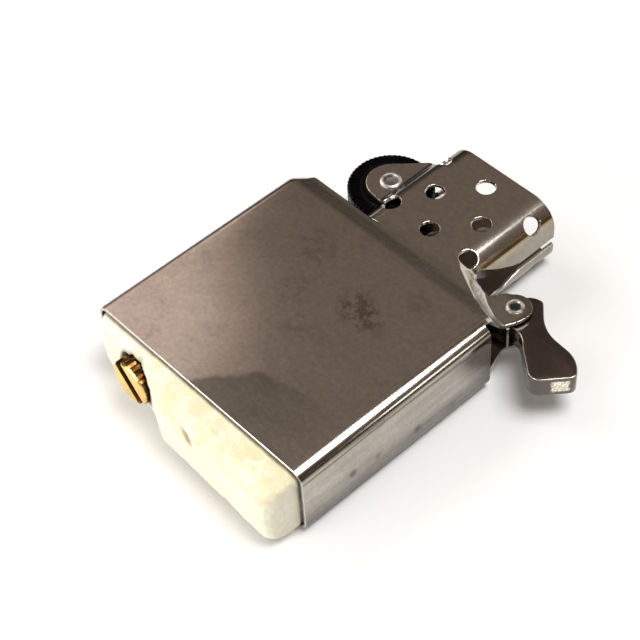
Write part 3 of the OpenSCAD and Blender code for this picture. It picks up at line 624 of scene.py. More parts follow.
def cloth(name, colour, shade, scale, bump, depth, sheen):
    """A soft fibrous surface, tinted in broad patches."""
    material, t, shader = new_material(name)
    at = t.here()
    patch = t.spread(t.noise(at, scale * 0.05, 3, 0.6), 0.35, 0.70)
    fibre = t.noise(at, scale, 6, 0.7, 1.5)
    blend = t.add(t.times(patch, 0.6), t.times(t.less(fibre, 0.4), 0.5), True)
    t.fill(shader, {"Base Color": t.mix(blend, colour, shade), "Normal": t.bump(bump, depth, fibre),
                    "Roughness": 0.95, "Sheen Weight": sheen, "Sheen Roughness": 0.5,
                    "Specular IOR Level": 0.2})
    return material


# Each metal: its name, its colour or the setting that holds it, the colour of its smudges, its roughness,
# and how much it is smudged, scratched, specked and, where it isn't smooth, bumped
METALS = {
    "case": ("drawn_steel", "steel", (0.47, 0.42, 0.375), 0.14, 0.62, 0.45, 0.9),
    # the inside is the case's steel darkened as painted shade
    "inside": ("drawn_steel_inside", "inside", (0.12, 0.095, 0.07), 0.30, 0.6, 0.3, 0.6),
    "cut": ("cut_edge", "cut", (0.50, 0.46, 0.42), 0.24, 0.5, 0.2, 0.1),
    "bright": ("bright_steel", "bright", (0.5, 0.48, 0.45), 0.18, 0.4, 0.3, 0.4),
    "rivet": ("rivet_steel", "rivet", (0.36, 0.35, 0.33), 0.36, 0.8, 0.5, 1.0, 0.3),
    "dimple": ("rivet_dimple", (0.30, 0.28, 0.26), (0.10, 0.09, 0.08), 0.45, 0.9, 0.5, 1.0, 0.5),
    "dark": ("dark_steel", "dark", (0.10, 0.083, 0.072), 0.22, 0.5, 0.4, 0.6),
    "edge": ("worn_edge", (0.46, 0.42, 0.38), (0.30, 0.27, 0.24), 0.25, 0.6, 0.3, 0.6),
    "black": ("blackened_steel", "black", (0.006, 0.006, 0.006), 0.36, 0.4, 0.4, 0.2),
    "brass": ("brass", "brass", (0.62, 0.38, 0.10), 0.16, 0.5, 0.3, 0.4),
    "screw": ("screw_brass", "brass", (0.70, 0.42, 0.10), 0.22, 0.7, 0.4, 0.8),
    "copper": ("copper", "copper", (0.5, 0.24, 0.14), 0.3, 0.5, 0.2, 0.3),
    "flint": ("flint_alloy", "flint", (0.22, 0.21, 0.2), 0.5, 0.5, 0.3, 0.5, 0.1),
}
# Each cloth: its name, the setting that holds its colour, its shade, the fineness of its fibres, and its
# bump, depth in metres and sheen
CLOTHS = {
    "felt": ("wool_felt", "felt", (0.92, 0.86, 0.66), 2600, 0.9, 2.2e-4, 0.3),
    "cotton": ("cotton_wool", "cotton", (0.82, 0.79, 0.70), 2200, 0.6, 1.5e-4, 0.3),
    "wick": ("wick_braid", "wick", (0.36, 0.30, 0.16), 5000, 0.5, 4e-5, 0.1),
}
STAINS_AND_SHADE = {"case": case_stains_and_shade, "dark": cam_stains, "screw": screw_darkening, "felt": felt_stains_and_shade}
MATERIALS = {}


def make_materials():
    look = bpy.context.scene.lighter_finish
    wear_group()
    for make, table in ((metal, METALS), (cloth, CLOTHS)):
        for key, (name, colour, *rest) in table.items():
            own = tuple(getattr(look, colour)) if isinstance(colour, str) else colour
            MATERIALS[key] = make(name, own, *rest)
    for key, paint in STAINS_AND_SHADE.items():
        paint_over(MATERIALS[key], paint)


# The case


def ease(t):
    t = np.clip(t, 0.0, 1.0)
    return t * t * (3.0 - 2.0 * t)


def soft_step(t, soft=0.25):
    """A step with a straight slope and rounded ends."""
    t = np.clip(t, 0.0, 1.0)
    steep = 1 / (1 - soft)
    low, high = steep * t * t / (2 * soft), 1 - steep * (1 - t) ** 2 / (2 * soft)
    return np.where(t < soft, low, np.where(t > 1 - soft, high, steep * (t - soft / 2)))


# The line on the face where the band to the cam's ear starts to bend down
BAND_EDGE = [(6.4, 26.0), (6.4, 21.6), (6.55, 20.45), (7.95, 19.15), (10.3, 18.1), (12.6, 17.1),
             (14.9, 16.2), (16.1, 15.75), (17.8, 14.9)]
# How far the band drops, and how long its bend is at some places along x
BAND_DROP = 2.2
BAND_AT = [7, 9, 11, 13, 15, 17]
BAND_LENGTH = [4.2, 3.6, 2.5, 2.0, 1.9, 2.5]
# The wheel's ear: how far it lies under the face, where the step down to it starts and how long it is
EAR_DROP = 1.1
EAR_X = -5.9
EAR_STEP = 1.9
# The ear's foot and top along y, and where the flap over it ends
EAR_LOW = 20.4
EAR_HIGH = 30.4
FLAP_X = -8.45
# The round end over the cam takes over from the band past this line, x first and then y
ROUND_LINE = ([10.6, 12.4], [19.9, 23.4])
# Rows of vents: height over the rim, and places out from the chimney's middle
VENTS = ((3.75, (-6.7, 0, 6.7)), (8.75, (-4, 4)), (13.75, (-7.7, 0, 8.2)))
# Radii of the holes for the rivets of wheel and cam
WHEEL_HOLE_R = 1.02
CAM_HOLE_R = 0.97


def beyond_band(x, y):
    """Distance past the band's edge, negative on the flat face."""
    best = np.full(x.shape, 1e9)
    side = np.zeros(x.shape)
    for (x0, y0), (x1, y1) in zip(BAND_EDGE, BAND_EDGE[1:]):
        dx, dy = x1 - x0, y1 - y0
        t = np.clip(((x - x0) * dx + (y - y0) * dy) / (dx * dx + dy * dy), 0, 1)
        away = np.hypot(x - x0 - t * dx, y - y0 - t * dy)
        cross = dx * (y - y0) - dy * (x - x0)
        near = away < best - 1e-9
        best = np.where(near, away, best)
        side = np.where(near, np.sign(cross), side)
    return best * side


def fold(s, y, right_r, look):
    """Where a point of the flat sheet lies once it is folded: x, y and height over the middle."""
    face = MID_Z - RIM_IN_Z
    r = look.chim_r
    left, right = CHIM_LEFT + r, CHIM_RIGHT - right_r

    def bend(over, radius):
        a = np.clip(over / radius, 0, math.pi / 2)
        more = np.maximum(over - radius * math.pi / 2, 0)
        return radius * np.sin(a), radius * (1 - np.cos(a)) + more

    x, drop = s.copy(), np.zeros(s.shape)
    # wheel's side: a round flap over and under the ear, and a soft step down to the ear
    out_l, down_l = bend(np.maximum(left - s, 0), r)
    ear = ease((EAR_X - s) / EAR_STEP) * EAR_DROP
    w = ease((y - EAR_LOW) / 0.6) * (1 - ease((y - EAR_HIGH) / 0.8))
    on_left = (s < left) & (y > RIM_Y + 0.03)
    x = np.where(on_left, (1 - w) * (left - out_l) + w * s, x)
    drop = np.where(on_left, (1 - w) * down_l + w * ear, drop)
    # cam's side: the round end over the arch, and the band down to the ear under it
    out_r, down_r = bend(np.maximum(s - right, 0), right_r)
    band = BAND_DROP * soft_step(beyond_band(s, y) / np.interp(s, BAND_AT, BAND_LENGTH), 0.2)
    w = ease((y - np.interp(s, *ROUND_LINE)) / 1.6)
    on_right = s > 0
    x = np.where(on_right, (1 - w) * s + w * np.where(s > right, right + out_r, s), x)
    drop = np.where(on_right, (1 - w) * band + w * down_r, drop)
    # the shoulder, and the tank's rounded edge
    shoulder = RIM_IN_Z * soft_step((y - SHOULDER_LOW) / (SHOULDER_HIGH - SHOULDER_LOW))
    edge = look.edge_r
    past = np.clip(x - (CASE_HIGH.x - edge), 0, edge * 0.99)
    corner = (edge - np.sqrt(edge * edge - past * past)) * (1 - ease((y - SHOULDER_LOW) / 3))
    return np.stack([x, y, face + RIM_IN_Z - shoulder - corner * (y < 20) - drop], axis=-1)


def sheet_outline(front, right_r):
    """The sheet's outline laid flat, over the seam with the tank."""
    slit = CHIM_RIGHT - right_r + right_r * math.pi / 2 + (MID_Z - RIM_IN_Z - right_r)
    slit += 0.55 if front else -1.75
    cam = [(SEAM_RIGHT, 17.8), (17.2, 18.5), (17.5, 19.1), (17.72, 19.8)]
    cam += arc(CAM_AT.x, CAM_AT.y, 2.06, -8, 140, 16)
    cam += [(13.45, 21.7), (13.15, 21.2), (12.95, 20.75), (12.7, 20.3), (12.3, 20.05), (11.7, 20.02),
            (11.1, 20.15), (10.6, 20.4), (10.15, 20.75), (9.8, 21.2), (9.65, 21.6), (9.7, 22.05)]
    if front:
        cam += [(10.0, 22.45), (10.85, 23.8), (11.8, 25.5), (12.7, 27.1), (slit, 28.4)]
    else:
        cam += [(9.6, 23.2), (9.75, 23.7), (10.15, 24.4), (10.8, 25.6), (11.3, 26.9), (slit, 28.4)]
    top = [(slit, TOP_Y), (FLAP_X + 0.5, TOP_Y), (FLAP_X + 0.12, TOP_Y - 0.14), (FLAP_X, TOP_Y - 0.5)]
    if front:
        wheel = [(FLAP_X, 31.25), (-8.1, 31.0), (-7.75, 30.7)]
        wheel += arc(WHEEL_AT.x, WHEEL_AT.y, 3.2, 134, 262, 18)
    else:
        wheel = [(FLAP_X, 31.6), (-8.6, 31.2), (-9.0, 30.7)]
        wheel += arc(WHEEL_AT.x, WHEEL_AT.y, 3.2, 118, 262, 18)
    wheel += [(-7.7, 21.2), (-6.6, 21.1)]
    low = [(-6.6, 20.75), (-7.5, 20.55), (-7.5, RIM_Y + 0.1), (-4.35, RIM_Y + 0.1), (-4.35, RIM_Y),
           (SEAM_LEFT, RIM_Y)]
    return [(SEAM_LEFT, SEAM_Y), (SEAM_RIGHT, SEAM_Y)] + cam + top + wheel + low


def folded_sheet(front, look):
    """One of the two chimney sheets: cut out flat, and then folded."""
    right_r = look.chim_r if front else look.back_r
    low_s, high_s, low_y = SEAM_LEFT - 0.6, SEAM_RIGHT + 1.2, SEAM_Y - 0.02
    wide, tall = high_s - low_s, TOP_Y + 0.02 - low_y
    nx, ny = round(wide / look.step), round(tall / look.rise)
    blank = add("grid", x_subdivisions=nx, y_subdivisions=ny, size=1)
    blank.data.transform(Matrix.Diagonal((wide, tall, 1, 1)))
    move(blank, ((low_s + high_s) / 2, low_y + tall / 2, -look.sheet))
    thicken(blank, look.sheet)
    cut(blank, outline(sheet_outline(front, right_r), -2, 1), "INTERSECT")
    holes = [(CHIM_X + out, RIM_Y + rise, look.vent_r) for rise, outs in VENTS for out in outs]
    holes += [(WHEEL_AT.x, WHEEL_AT.y, WHEEL_HOLE_R), (CAM_AT.x, CAM_AT.y, CAM_HOLE_R)]
    tools = [add("cylinder", vertices=48, radius=r, depth=4, location=(x, y, 0)) for x, y, r in holes]
    cut(blank, join(*tools))
    pick(blank, "EDGE", lambda e: all(v.co.z > -1e-4 for v in e.verts) and len(e.link_faces) == 2
         and max(v.co.y for v in e.verts) > RIM_Y - 0.05
         and {abs(f.normal.z) > 0.5 for f in e.link_faces} == {True, False})
    bpy.ops.mesh.bevel(offset=look.worn, segments=2, clamp_overlap=False)
    bpy.ops.mesh.select_all(action="SELECT")
    bpy.ops.mesh.quads_convert_to_tris(quad_method="BEAUTY", ngon_method="BEAUTY")
    leave()
    mesh = blank.data
    dress(blank, MATERIALS["case"], MATERIALS["cut"], MATERIALS["inside"])
    # faces on the inner side take the inside material, painted in shade
    flat = np.array([face.normal for face in mesh.polygons])
    kind = np.where(np.abs(flat[:, 2]) < 0.5, 1, np.where(flat[:, 2] < 0, 2, 0)).astype(np.int32)
    mesh.polygons.foreach_set("material_index", kind)
    count = len(mesh.vertices)
    at = np.zeros(count * 3)
    mesh.vertices.foreach_get("co", at)
    at = at.reshape(-1, 3)
    s, y, deep = at[:, 0], at[:, 1], -at[:, 2]
    outer = fold(s, y, right_r, look)
    step = 0.02
    along = fold(s + step, y, right_r, look) - fold(s - step, y, right_r, look)
    # no difference is taken across the slot over the rim
    up_y = np.where(y > RIM_Y + 0.03, np.maximum(y - step, RIM_Y + 0.04), y - step)
    on_y = np.where(y > RIM_Y + 0.03, y + step, np.minimum(y + step, RIM_Y + 0.02))
    across = fold(s, on_y, right_r, look) - fold(s, up_y, right_r, look)
    normal = np.cross(along, across)
    normal /= np.linalg.norm(normal, axis=1, keepdims=True)
    placed = outer - normal * deep[:, None]
    placed[:, 2] = MID_Z + placed[:, 2] if front else MID_Z - placed[:, 2]
    mesh.vertices.foreach_set("co", placed.ravel())
    mesh.update()
    if not front:
        flip(blank)
    return blank


def drawn_tank(look):
    """The drawn tube with its shoulder and rim, less what the chimney sheets take over."""
    wide, deep = CASE_HIGH.x - CASE_LOW.x, CASE_HIGH.z - CASE_LOW.z
    obj = add("plane", size=1)
    obj.data.transform(Matrix.Diagonal((wide, deep, 1, 1)))
    obj.data.transform(Matrix.Rotation(math.pi / 2, 4, "X"))
    move(obj, (0, MOUTH_Y, MID_Z))
    pick(obj, "VERT", everything)
    bpy.ops.mesh.bevel(offset=look.edge_r, segments=10, affect="VERTICES")
    bpy.ops.mesh.select_all(action="SELECT")
    bpy.ops.mesh.delete(type="ONLY_FACE")
    bpy.ops.mesh.select_all(action="SELECT")
    # each ring's height, its inset on the broad faces, and its rounder inset on the sides
    rings = [(SEAM_Y, 0.0, 0.0), (SHOULDER_LOW - 0.1, 0.0, 0.0)]
    for share in (i / 10 for i in range(1, 11)):
        level = SHOULDER_LOW + (SHOULDER_HIGH - SHOULDER_LOW) * share
        rings.append((level, float(soft_step(share)), share ** 2))
    rings.append((RIM_Y, 1.0, 1.15))
    last = (MOUTH_Y, 0.0, 0.0)
    for ring in rings:
        kx = (wide - 2 * RIM_IN_X * ring[2]) / (wide - 2 * RIM_IN_X * last[2])
        kz = (deep - 2 * RIM_IN_Z * ring[1]) / (deep - 2 * RIM_IN_Z * last[1])
        next_ring((0, ring[0] - last[0], 0), (kx, 1, kz), (0, ring[0], MID_Z))
        last = ring
    face_out()
    leave()
    if sum(f.normal.dot(f.center - Vector((0, 0, MID_Z))) for f in obj.data.polygons) < 0:
        flip(obj)
    modify(obj, "SOLIDIFY", thickness=look.sheet, offset=-1, use_even_offset=True)
    pick(obj, "EDGE", lambda e: all(abs(v.co.y - MOUTH_Y) < 1e-3 for v in e.verts)
         and len({f.normal.y < -0.5 for f in e.link_faces}) == 2)
    bpy.ops.mesh.bevel(offset=0.14, segments=3)
    leave()
    tall = 20.0
    middle = ((SEAM_LEFT + SEAM_RIGHT) / 2, SEAM_Y + tall / 2, MID_Z)
    cut(obj, add("cube", size=1, location=middle, scale=(SEAM_RIGHT - SEAM_LEFT, tall, tall)))
    # the cam's end corner is open from a little higher up
    corner_wide, corner_y = 3.0, SEAM_Y + 0.45
    middle = (SEAM_RIGHT + corner_wide / 2, corner_y + tall / 2, MID_Z)
    cut(obj, add("cube", size=1, location=middle, scale=(corner_wide, tall, tall)))
    dress(obj, MATERIALS["case"], MATERIALS["cut"], MATERIALS["inside"])
    half = Vector((wide / 2 - look.edge_r, 0, deep / 2 - look.edge_r))
    # faces on the inner side take the inside material, painted in shade
    for face in obj.data.polygons:
        at = face.center
        core_z = MID_Z + max(-half.z, min(half.z, at.z - MID_Z))
        core = Vector((max(-half.x, min(half.x, at.x)), at.y, core_z))
        ends = abs(face.normal.y) > 0.9 or at.y < MOUTH_Y + 0.1
        face.material_index = 1 if ends else 2 if face.normal.dot(at - core) < 0 else 0
    return obj


class LIGHTER_OT_case(bpy.types.Operator):
    """Drawn case: tank, shoulder, rim and the folded chimney with its ears"""

    bl_idname = "lighter.case"
    bl_label = "Case"

    def execute(self, context):
        look = context.scene.lighter_case
        tank = drawn_tank(look)
        front = folded_sheet(True, look)
        back = folded_sheet(False, look)
        finish(join(tank, front, back), "case_shell", "frame", ["insert_case"], 28)
        return {"FINISHED"}


# The flint wheel


class LIGHTER_OT_wheel(bpy.types.Operator):
    """Flint wheel: finely toothed tread and grooved side rims on a plain hub"""

    bl_idname = "lighter.wheel"
    bl_label = "Flint wheel"

    def execute(self, context):
        teeth, per, bore = 54, 4, 1.06
        tooth, worn_deep, worn_every = 0.055, 0.12, 6
        groove_from, groove_to = 4.1, 5.5
        r, half = (WHEEL_HIGH.x - WHEEL_LOW.x) / 2, (WHEEL_HIGH.z - WHEEL_LOW.z) / 2
        # each ring's radius over a tooth and in a gap, and its height over a tooth and in a gap
        rings = [(bore, bore, half, half), (3.7, 3.7, half, half), (3.95, 3.95, half - 0.1, half - 0.1),
                 (4.2, 4.2, half, half - 0.04), (5.35, 5.33, half, half - 0.07),
                 (r, r - tooth, half - 0.2, half - 0.23)]
        rings += [(a, b, -c, -d) for a, b, c, d in reversed(rings)]
        rings.append(rings[0])
        sides = teeth * per
        obj = add("circle", vertices=sides, radius=rings[0][0], location=(0, 0, rings[0][2]))
        pick(obj, "VERT", everything)
        for last, ring in zip(rings, rings[1:]):
            k = ring[0] / last[0]
            next_ring((0, 0, ring[2] - last[2]), (k, k, 1), (0, 0, ring[2]))
        leave()
        for i, vert in enumerate(obj.data.vertices):
            ring = rings[i // sides]
            turn = round((math.degrees(math.atan2(vert.co.y, vert.co.x)) % 360) * sides / 360) % per
            if turn in (0, 1):
                k = ring[1] / ring[0]
                grooved = (i % sides) // per % worn_every == 0 and groove_from < ring[0] < groove_to
                worn = worn_deep if grooved else 0.0
                vert.co = (vert.co.x * k, vert.co.y * k, ring[3] - math.copysign(worn, ring[3]))
        pick(obj, "VERT", everything)
        bpy.ops.mesh.remove_doubles(threshold=1e-4)
        face_out()
        leave()
        move(obj, WHEEL_AT)
        dress(obj, MATERIALS["black"])
        finish(obj, "toothed_wheel", "wheel", ["flint_wheel"], 25)
        return {"FINISHED"}


# The rivets


class LIGHTER_OT_rivets(bpy.types.Operator):
    """Rivets: the wheel's dimpled rivet and the cam's hollow one"""

    bl_idname = "lighter.rivets"
    bl_label = "Rivets"

    def execute(self, context):
        high, head, shank, dimple = RIVET_HIGH.z - MID_Z, 0.35, 1.0, 0.95
        wide = (RIVET_HIGH.x - RIVET_LOW.x) / 2
        half = [(0, high - 0.5), (dimple * 0.55, high - 0.48), (dimple * 0.8, high - 0.42),
                (dimple * 0.97, high - 0.12), (dimple * 1.06, high - 0.03), (dimple * 1.2, high),
                (wide - 0.14, high - 0.05), (wide - 0.03, high - 0.15), (wide, high - head + 0.02),
                (wide - 0.05, high - head), (shank, high - head)]
        profile = half + [(r, -z) for r, z in reversed(half)]
        obj = lathe(profile, (WHEEL_AT.x, WHEEL_AT.y, MID_Z))
        dress(obj, MATERIALS["rivet"], MATERIALS["dimple"])
        for face in obj.data.polygons:
            out = math.hypot(face.center.x - WHEEL_AT.x, face.center.y - WHEEL_AT.y)
            inside = out < dimple * 0.99 and abs(face.center.z - MID_Z) > high - 0.6
            face.material_index = 1 if inside else 0
        finish(obj, "wheel_rivet_turned", "frame", ["wheel_rivet"])
        high, head, shank, bore = CAM_PIN_HIGH.z - MID_Z, 0.3, 0.95, 0.64
        wide = (CAM_PIN_HIGH.x - CAM_PIN_LOW.x) / 2 * 0.94
        half = [(bore, 0), (bore, high - 0.28), (bore + 0.05, high - 0.12), (bore + 0.16, high - 0.02),
                (bore + 0.3, high), (wide - 0.1, high - 0.06), (wide, high - 0.17),
                (wide - 0.03, high - head), (shank, high - head), (shank, 0)]
        profile = half + [(r, -z) for r, z in reversed(half[:-1])][:-1] + [half[0]]
        obj = lathe(profile, (CAM_AT.x, CAM_AT.y, MID_Z))
        dress(obj, MATERIALS["rivet"])
        finish(obj, "cam_rivet_rolled", "frame", ["cam_rivet"])
        return {"FINISHED"}


# The cam


class LIGHTER_OT_cam(bpy.types.Operator):
    """Cam lever: flat hub for the spring, waist, and broad foot with a sheared end"""

    bl_idname = "lighter.cam"
    bl_label = "Cam"

    def execute(self, context):
        swing, flat, corner_r = 110, 2.2, 1.0
        reach = (flat - corner_r) / math.cos(math.radians(swing / 2))
        a = math.radians(-90 - swing / 2)
        cx, cy = reach * math.cos(a), reach * math.sin(a)
        points = arc(1.1, 2.75, 0.75, 105, 40, 6) + arc(7.1, 5.6, 5.55, 222, 268, 12)
        points += arc(7.9, -4.62, 4.6, 90, 48, 9) + arc(10.6, -2.3, 1.02, 35, -40, 8)
        points += arc(8.2, -4.5, 1.52, -38, -132, 12) + arc(1, -6, 4.25, 38, 66, 8)
        points += arc(0, 0, flat, -62, -90, 4) + arc(cx, cy, corner_r, -90, -90 - swing, 10)
        points += arc(0, 0, flat, -90 - swing, -225, 3) + [(-1.1, 2.0), (-0.2, 3.0), (0.35, 3.33)]
        points = [p for p, q in zip(points, points[1:] + points[:1]) if math.dist(p, q) > 0.03]
        half = (CAM_HIGH.z - CAM_LOW.z) / 2
        obj = outline(points, -half, half)
        cut(obj, add("cylinder", vertices=40, radius=1.0, depth=20))
        dress(obj, MATERIALS["dark"], MATERIALS["edge"])
        modify(obj, "BEVEL", width=0.1, segments=3, limit_method="ANGLE", angle_limit=math.radians(50),
               material=1)
        move(obj, CAM_AT)
        finish(obj, "cam_with_foot", "cam", ["cam_lever"], 30)
        return {"FINISHED"}


# Felt, cotton and wick


def copy_node(name):
    """A merged copy of a CAD node, in millimetres."""
    obj = NODES[name].copy()
    obj.data = NODES[name].data.copy()
    obj.parent = None
    for key in list(obj.keys()):
        del obj[key]
    bpy.context.scene.collection.objects.link(obj)
    obj.data.transform(Matrix.Scale(1 / MM, 4))
    pick(obj, "VERT", everything)
    bpy.ops.mesh.remove_doubles(threshold=1e-3)
    leave()
    return obj


def roughen(obj, waves):
    """Pushes each vertex along its normal by seeded noise of a few sizes."""
    mesh = obj.data
    for vert in mesh.vertices:
        push = 0.0
        for scale, depth in waves:
            push += depth * noise.noise(vert.co * scale + Vector((31.7, 5.2, 9.1)) * scale)
        vert.co = vert.co + vert.normal * push
    mesh.update()


# The felt's lifting slit: its middle, its turn about y, and the block that fills the solid's slit
SLIT_X = 3.0
SLIT_Z = 7.8
SLIT_TURN = math.radians(45)
FILL_SIZE = (3.0, 1.1, 0.7)
FILL_Y = -18.8
# The hollow in the slit's place: its half sizes, and its middle along y
HOLLOW_SIZE = (1.15, 0.35, 0.42)
HOLLOW_Y = -19.55
# Sizes of the voxels that felt and cotton are made even with, and their waves: how fine and how high
FELT_VOXEL = 0.24
FELT_WAVES = ((0.35, 0.10), (1.3, 0.08), (2.8, 0.07))
COTTON_VOXEL = 0.4
COTTON_WAVES = ((0.5, 0.25), (1.7, 0.12))


class LIGHTER_OT_felt(bpy.types.Operator):
    """Felt pad: soft block that bulges from the mouth, with its hole and lifting slit"""

    bl_idname = "lighter.felt"
    bl_label = "Felt pad"

    def execute(self, context):
        obj = copy_node("felt_pad")
        # the solid's slit is filled, and a shallow hollow takes its place
        turn = Matrix.Rotation(SLIT_TURN, 4, "Y")
        fill = add("cube", size=1, scale=FILL_SIZE)
        fill.data.transform(Matrix.Translation((SLIT_X, FILL_Y, SLIT_Z)) @ turn)
        cut(obj, fill, "UNION")
        hollow = add("uv_sphere", segments=24, ring_count=12, radius=1)
        hollow.data.transform(Matrix.Diagonal((*HOLLOW_SIZE, 1)))
        hollow.data.transform(Matrix.Translation((SLIT_X, HOLLOW_Y, SLIT_Z)) @ turn)
        cut(obj, hollow)
        modify(obj, "REMESH", mode="VOXEL", voxel_size=FELT_VOXEL)
        modify(obj, "SMOOTH", factor=0.5, iterations=3)
        # it wells up beside the screw's head
        swell, swell_x, swell_wide = 0.9, -9.0, 4.6
        for vert in obj.data.vertices:
            beside = float(ease(1 - abs(vert.co.x - swell_x) / swell_wide))
            vert.co.y -= swell * beside * min(max((MOUTH_Y - 0.1 - vert.co.y) / 0.8, 0.0), 1.0)
        roughen(obj, FELT_WAVES)
        dress(obj, MATERIALS["felt"])
        finish(obj, "felt_block", "felt", ["felt_pad"], 180)
        return {"FINISHED"}


class LIGHTER_OT_cotton(bpy.types.Operator):
    """Cotton packing: five wads of cotton wool that fill the tank"""

    bl_idname = "lighter.cotton"
    bl_label = "Cotton packing"

    def execute(self, context):
        for i in range(1, 6):
            name = f"packing_{i}"
            obj = copy_node(name)
            modify(obj, "REMESH", mode="VOXEL", voxel_size=COTTON_VOXEL)
            modify(obj, "SMOOTH", factor=0.5, iterations=6)
            roughen(obj, COTTON_WAVES)
            dress(obj, MATERIALS["cotton"])
            finish(obj, f"cotton_wad_{i}", "frame", [name], 180)
        return {"FINISHED"}


# The wick's line in x and y, from its top down to its tail
WICK_ROUTE = [(CHIM_X, 26.55), (CHIM_X, 20.6), (CHIM_X, 15.5), (1.51, 14.3), (2.98, 12.7), (4.41, 10.9),
              (5.275, 8.7), (5.275, -0.2)]
WICK_ROUTE += arc(9.175, -7.9, 3.9, 180, 270, 6) + [(12.06, -11.8)]
# The braid: yarns each way round, radius to a yarn's middle, yarn radius, weave, turn for each
# millimetre, and the step between points
YARNS = 8
BRAID_R = 1.02
YARN_R = 0.2
WEAVE = 0.09
BRAID_TURN = 0.85
BRAID_STEP = 0.22


def route_points(points, step):
    """Points at even steps along a route, with its corners rounded off."""
    line = [Vector((x, y, 0)) for x, y in points]
    for _ in range(3):
        new = [line[0]]
        for a, b in zip(line, line[1:]):
            new += [a.lerp(b, 0.25), a.lerp(b, 0.75)]
        line = new + [line[-1]]
    even, left = [line[0].copy()], step
    for a, b in zip(line, line[1:]):
        span = (b - a).length
        at = left
        while at <= span:
            even.append(a.lerp(b, at / span))
            at += step
        left = at - span
    return even


class LIGHTER_OT_wick(bpy.types.Operator):
    """Wick: a braid of two crossing sets of yarns along the wick's route"""

    bl_idname = "lighter.wick"
    bl_label = "Wick"

    def execute(self, context):
        line = route_points(WICK_ROUTE, BRAID_STEP)
        curve = bpy.data.curves.new("wick_braid", "CURVE")
        curve.dimensions = "3D"
        curve.bevel_depth = YARN_R
        curve.bevel_resolution = 1
        curve.use_fill_caps = True
        for hand in (1, -1):
            for i in range(YARNS):
                spline = curve.splines.new("POLY")
                spline.points.add(len(line) - 1)
                for j, at in enumerate(line):
                    ahead = line[min(j + 1, len(line) - 1)] - line[max(j - 1, 0)]
                    ahead.normalize()
                    across = Vector((-ahead.y, ahead.x, 0))
                    turn = hand * j * BRAID_STEP * BRAID_TURN + math.tau * i / YARNS
                    out = BRAID_R + WEAVE * math.sin(turn * YARNS / 2 + (0 if hand > 0 else math.pi))
                    at = at + across * (out * math.cos(turn)) + Vector((0, 0, out * math.sin(turn)))
                    spline.points[j].co = (at.x, at.y, at.z + MID_Z, 1)
        take(link("wick_braid", curve))
        bpy.ops.object.convert(target="MESH")
        braid = bpy.context.object
        core = copy_node("wick")
        modify(core, "DISPLACE", strength=-0.42, mid_level=0.0)
        join(braid, core)
        dress(braid, MATERIALS["wick"])
        finish(braid, "braided_wick", "frame", ["wick"], 60)
        return {"FINISHED"}


# The flint's spring


class LIGHTER_OT_spring(bpy.types.Operator):
    """Flint spring: coil between screw and tip, with a mesh of its own"""

    bl_idname = "lighter.spring"
    bl_label = "Flint spring"

    def execute(self, context):
        coil = copy_node("flint_spring")
        dress(coil, MATERIALS["bright"])
        finish(coil, "coiled_flint_spring", "screw_carrier", ["flint_spring"])
        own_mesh(coil)
        return {"FINISHED"}


# Carried-over nodes


class LIGHTER_OT_carried(bpy.types.Operator):
    """Carried-over nodes: finishes for the pieces whose own shape is right"""

    bl_idname = "lighter.carried"
    bl_label = "Carried-over nodes"

    def execute(self, context):
        for name, finish_name in (
                ("deck_plate", "bright"), ("flint_tube", "brass"), ("cam_spring", "bright"),
                ("wick_eyelet", "brass"), ("wick_wires", "copper"), ("flint", "flint"),
                ("spring_tip", "brass"), ("flint_screw", "screw")):
            dress(NODES[name], MATERIALS[finish_name])
        return {"FINISHED"}


# The stage


# Each light in metres and watts: its place, width, height and power. All aim at the origin.
LIGHTS = {
    "overhead": ((0.16, 0.12, 0.60), 0.34, 0.34, 3.6),
    "left": ((-0.62, -0.22, 0.42), 0.5, 0.5, 2.6),
    "front": ((-0.14, -0.66, 0.20), 0.6, 0.36, 4.0),
    "right": ((0.66, 0.28, 0.27), 0.16, 0.10, 0.25),
}
# The pale wall and the bright window: where each lies, where its edge starts and ends, and its colour
WALL = ((-0.838, -0.029, 0.545), 0.872, 0.915, (0.86, 0.69, 0.595))
WINDOW = ((-0.016, 0.940, 0.342), 0.912, 0.945, (1.0, 0.96, 0.92))


def light(name, at, wide, tall, power):
    data = bpy.data.lights.new(name, "AREA")
    data.shape = "RECTANGLE"
    data.size, data.size_y = wide, tall
    data.energy = power
    obj = link(name, data)
    obj.location = at
    obj.rotation_euler = (-Vector(at)).to_track_quat("-Z", "Y").to_euler()


def sky(world):
    """A dim brown room, darker at the horizon, with a pale wall at the left and a window low at the back."""
    t = Tree(world.node_tree)
    at = t.node("ShaderNodeTexCoord").outputs["Generated"]
    height = t.node("ShaderNodeSeparateXYZ", {"Vector": at}).outputs["Z"]
    colour = t.mix(t.spread(height, 0.0, 0.85), (0.070, 0.056, 0.044), (0.200, 0.155, 0.127))
    for towards, starts, ends, paint in (WALL, WINDOW):
        aim = t.node("ShaderNodeVectorMath", {0: at, 1: towards}, operation="DOT_PRODUCT")
        colour = t.mix(t.spread(aim.outputs["Value"], starts, ends), colour, paint)
    t.put(world.node_tree.nodes["Background"].inputs["Color"], colour)


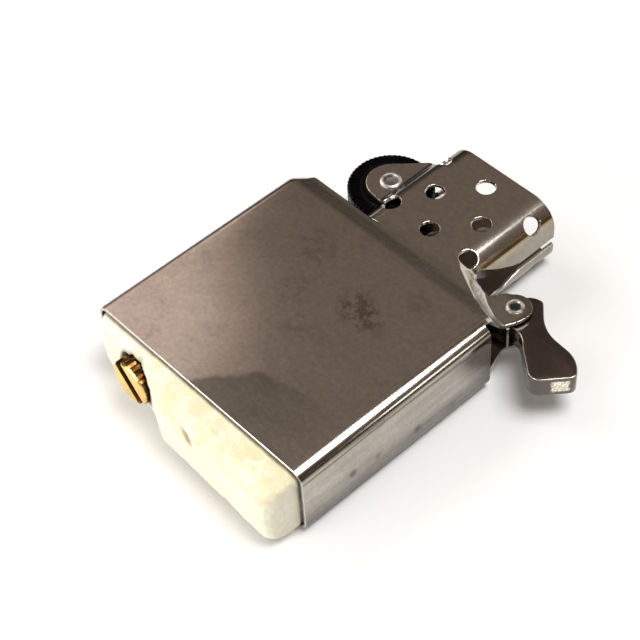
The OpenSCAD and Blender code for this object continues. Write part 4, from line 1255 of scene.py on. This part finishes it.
class LIGHTER_OT_stage(bpy.types.Operator):
    """Stage: pale floor, soft lights and the camera"""

    bl_idname = "lighter.stage"
    bl_label = "Stage"

    def execute(self, context):
        scene = context.scene
        look = scene.lighter_stage
        scene.view_settings.view_transform = "Standard"
        scene.view_settings.look = "None"
        scene.view_settings.exposure = 0.0
        floor = add("plane", size=6)
        floor.name = "floor"
        material, t, shader = new_material("floor")
        grain = t.noise(t.here(), 900, 2, 0.5)
        colour = t.mix(grain, tuple(scene.lighter_finish.floor), (0.80, 0.805, 0.80))
        t.fill(shader, {"Base Color": colour, "Roughness": 0.35, "Specular IOR Level": 0.3})
        dress(floor, material)
        world = scene.world or bpy.data.worlds.new("World")
        scene.world = world
        world.use_nodes = True
        sky(world)
        for name, how in LIGHTS.items():
            light(name, *how)
        data = bpy.data.cameras.new("camera")
        data.lens = look.lens
        data.sensor_width = 36
        data.clip_start = 0.01
        data.clip_end = 20
        camera = link("camera", data)
        camera.location = look.camera_at
        camera.rotation_euler = look.camera_turn
        scene.camera = camera
        return {"FINISHED"}


STEPS = ("stage", "case", "wheel", "rivets", "cam", "felt", "cotton", "wick", "spring", "carried")


class LIGHTER_PT_pieces(bpy.types.Panel):
    bl_idname = "LIGHTER_PT_pieces"
    bl_label = "Lighter inside unit"
    bl_space_type = "VIEW_3D"
    bl_region_type = "UI"
    bl_category = "Lighter"

    def draw(self, context):
        for name, kind in GROUPS_OF_SETTINGS:
            box = self.layout.box()
            for key in kind.__annotations__:
                box.prop(getattr(context.scene, name), key)
        for step in STEPS:
            self.layout.operator(f"lighter.{step}")


GROUPS_OF_SETTINGS = (
    ("lighter_case", CaseSettings), ("lighter_finish", FinishSettings), ("lighter_stage", StageSettings))
CLASSES = [cls for _, cls in GROUPS_OF_SETTINGS] + [
    LIGHTER_OT_stage, LIGHTER_OT_case, LIGHTER_OT_wheel, LIGHTER_OT_rivets, LIGHTER_OT_cam,
    LIGHTER_OT_felt, LIGHTER_OT_cotton, LIGHTER_OT_wick, LIGHTER_OT_spring, LIGHTER_OT_carried,
    LIGHTER_PT_pieces]


def register():
    for cls in CLASSES:
        bpy.utils.register_class(cls)
    for name, cls in GROUPS_OF_SETTINGS:
        setattr(bpy.types.Scene, name, bpy.props.PointerProperty(type=cls))


def unregister():
    for name, _ in GROUPS_OF_SETTINGS:
        delattr(bpy.types.Scene, name)
    for cls in reversed(CLASSES):
        bpy.utils.unregister_class(cls)


def main():
    register()
    make_materials()
    for step in STEPS:
        if getattr(bpy.ops.lighter, step)() != {"FINISHED"}:
            raise RuntimeError(f"{step} didn't finish")


if __name__ == "__main__":
    main()
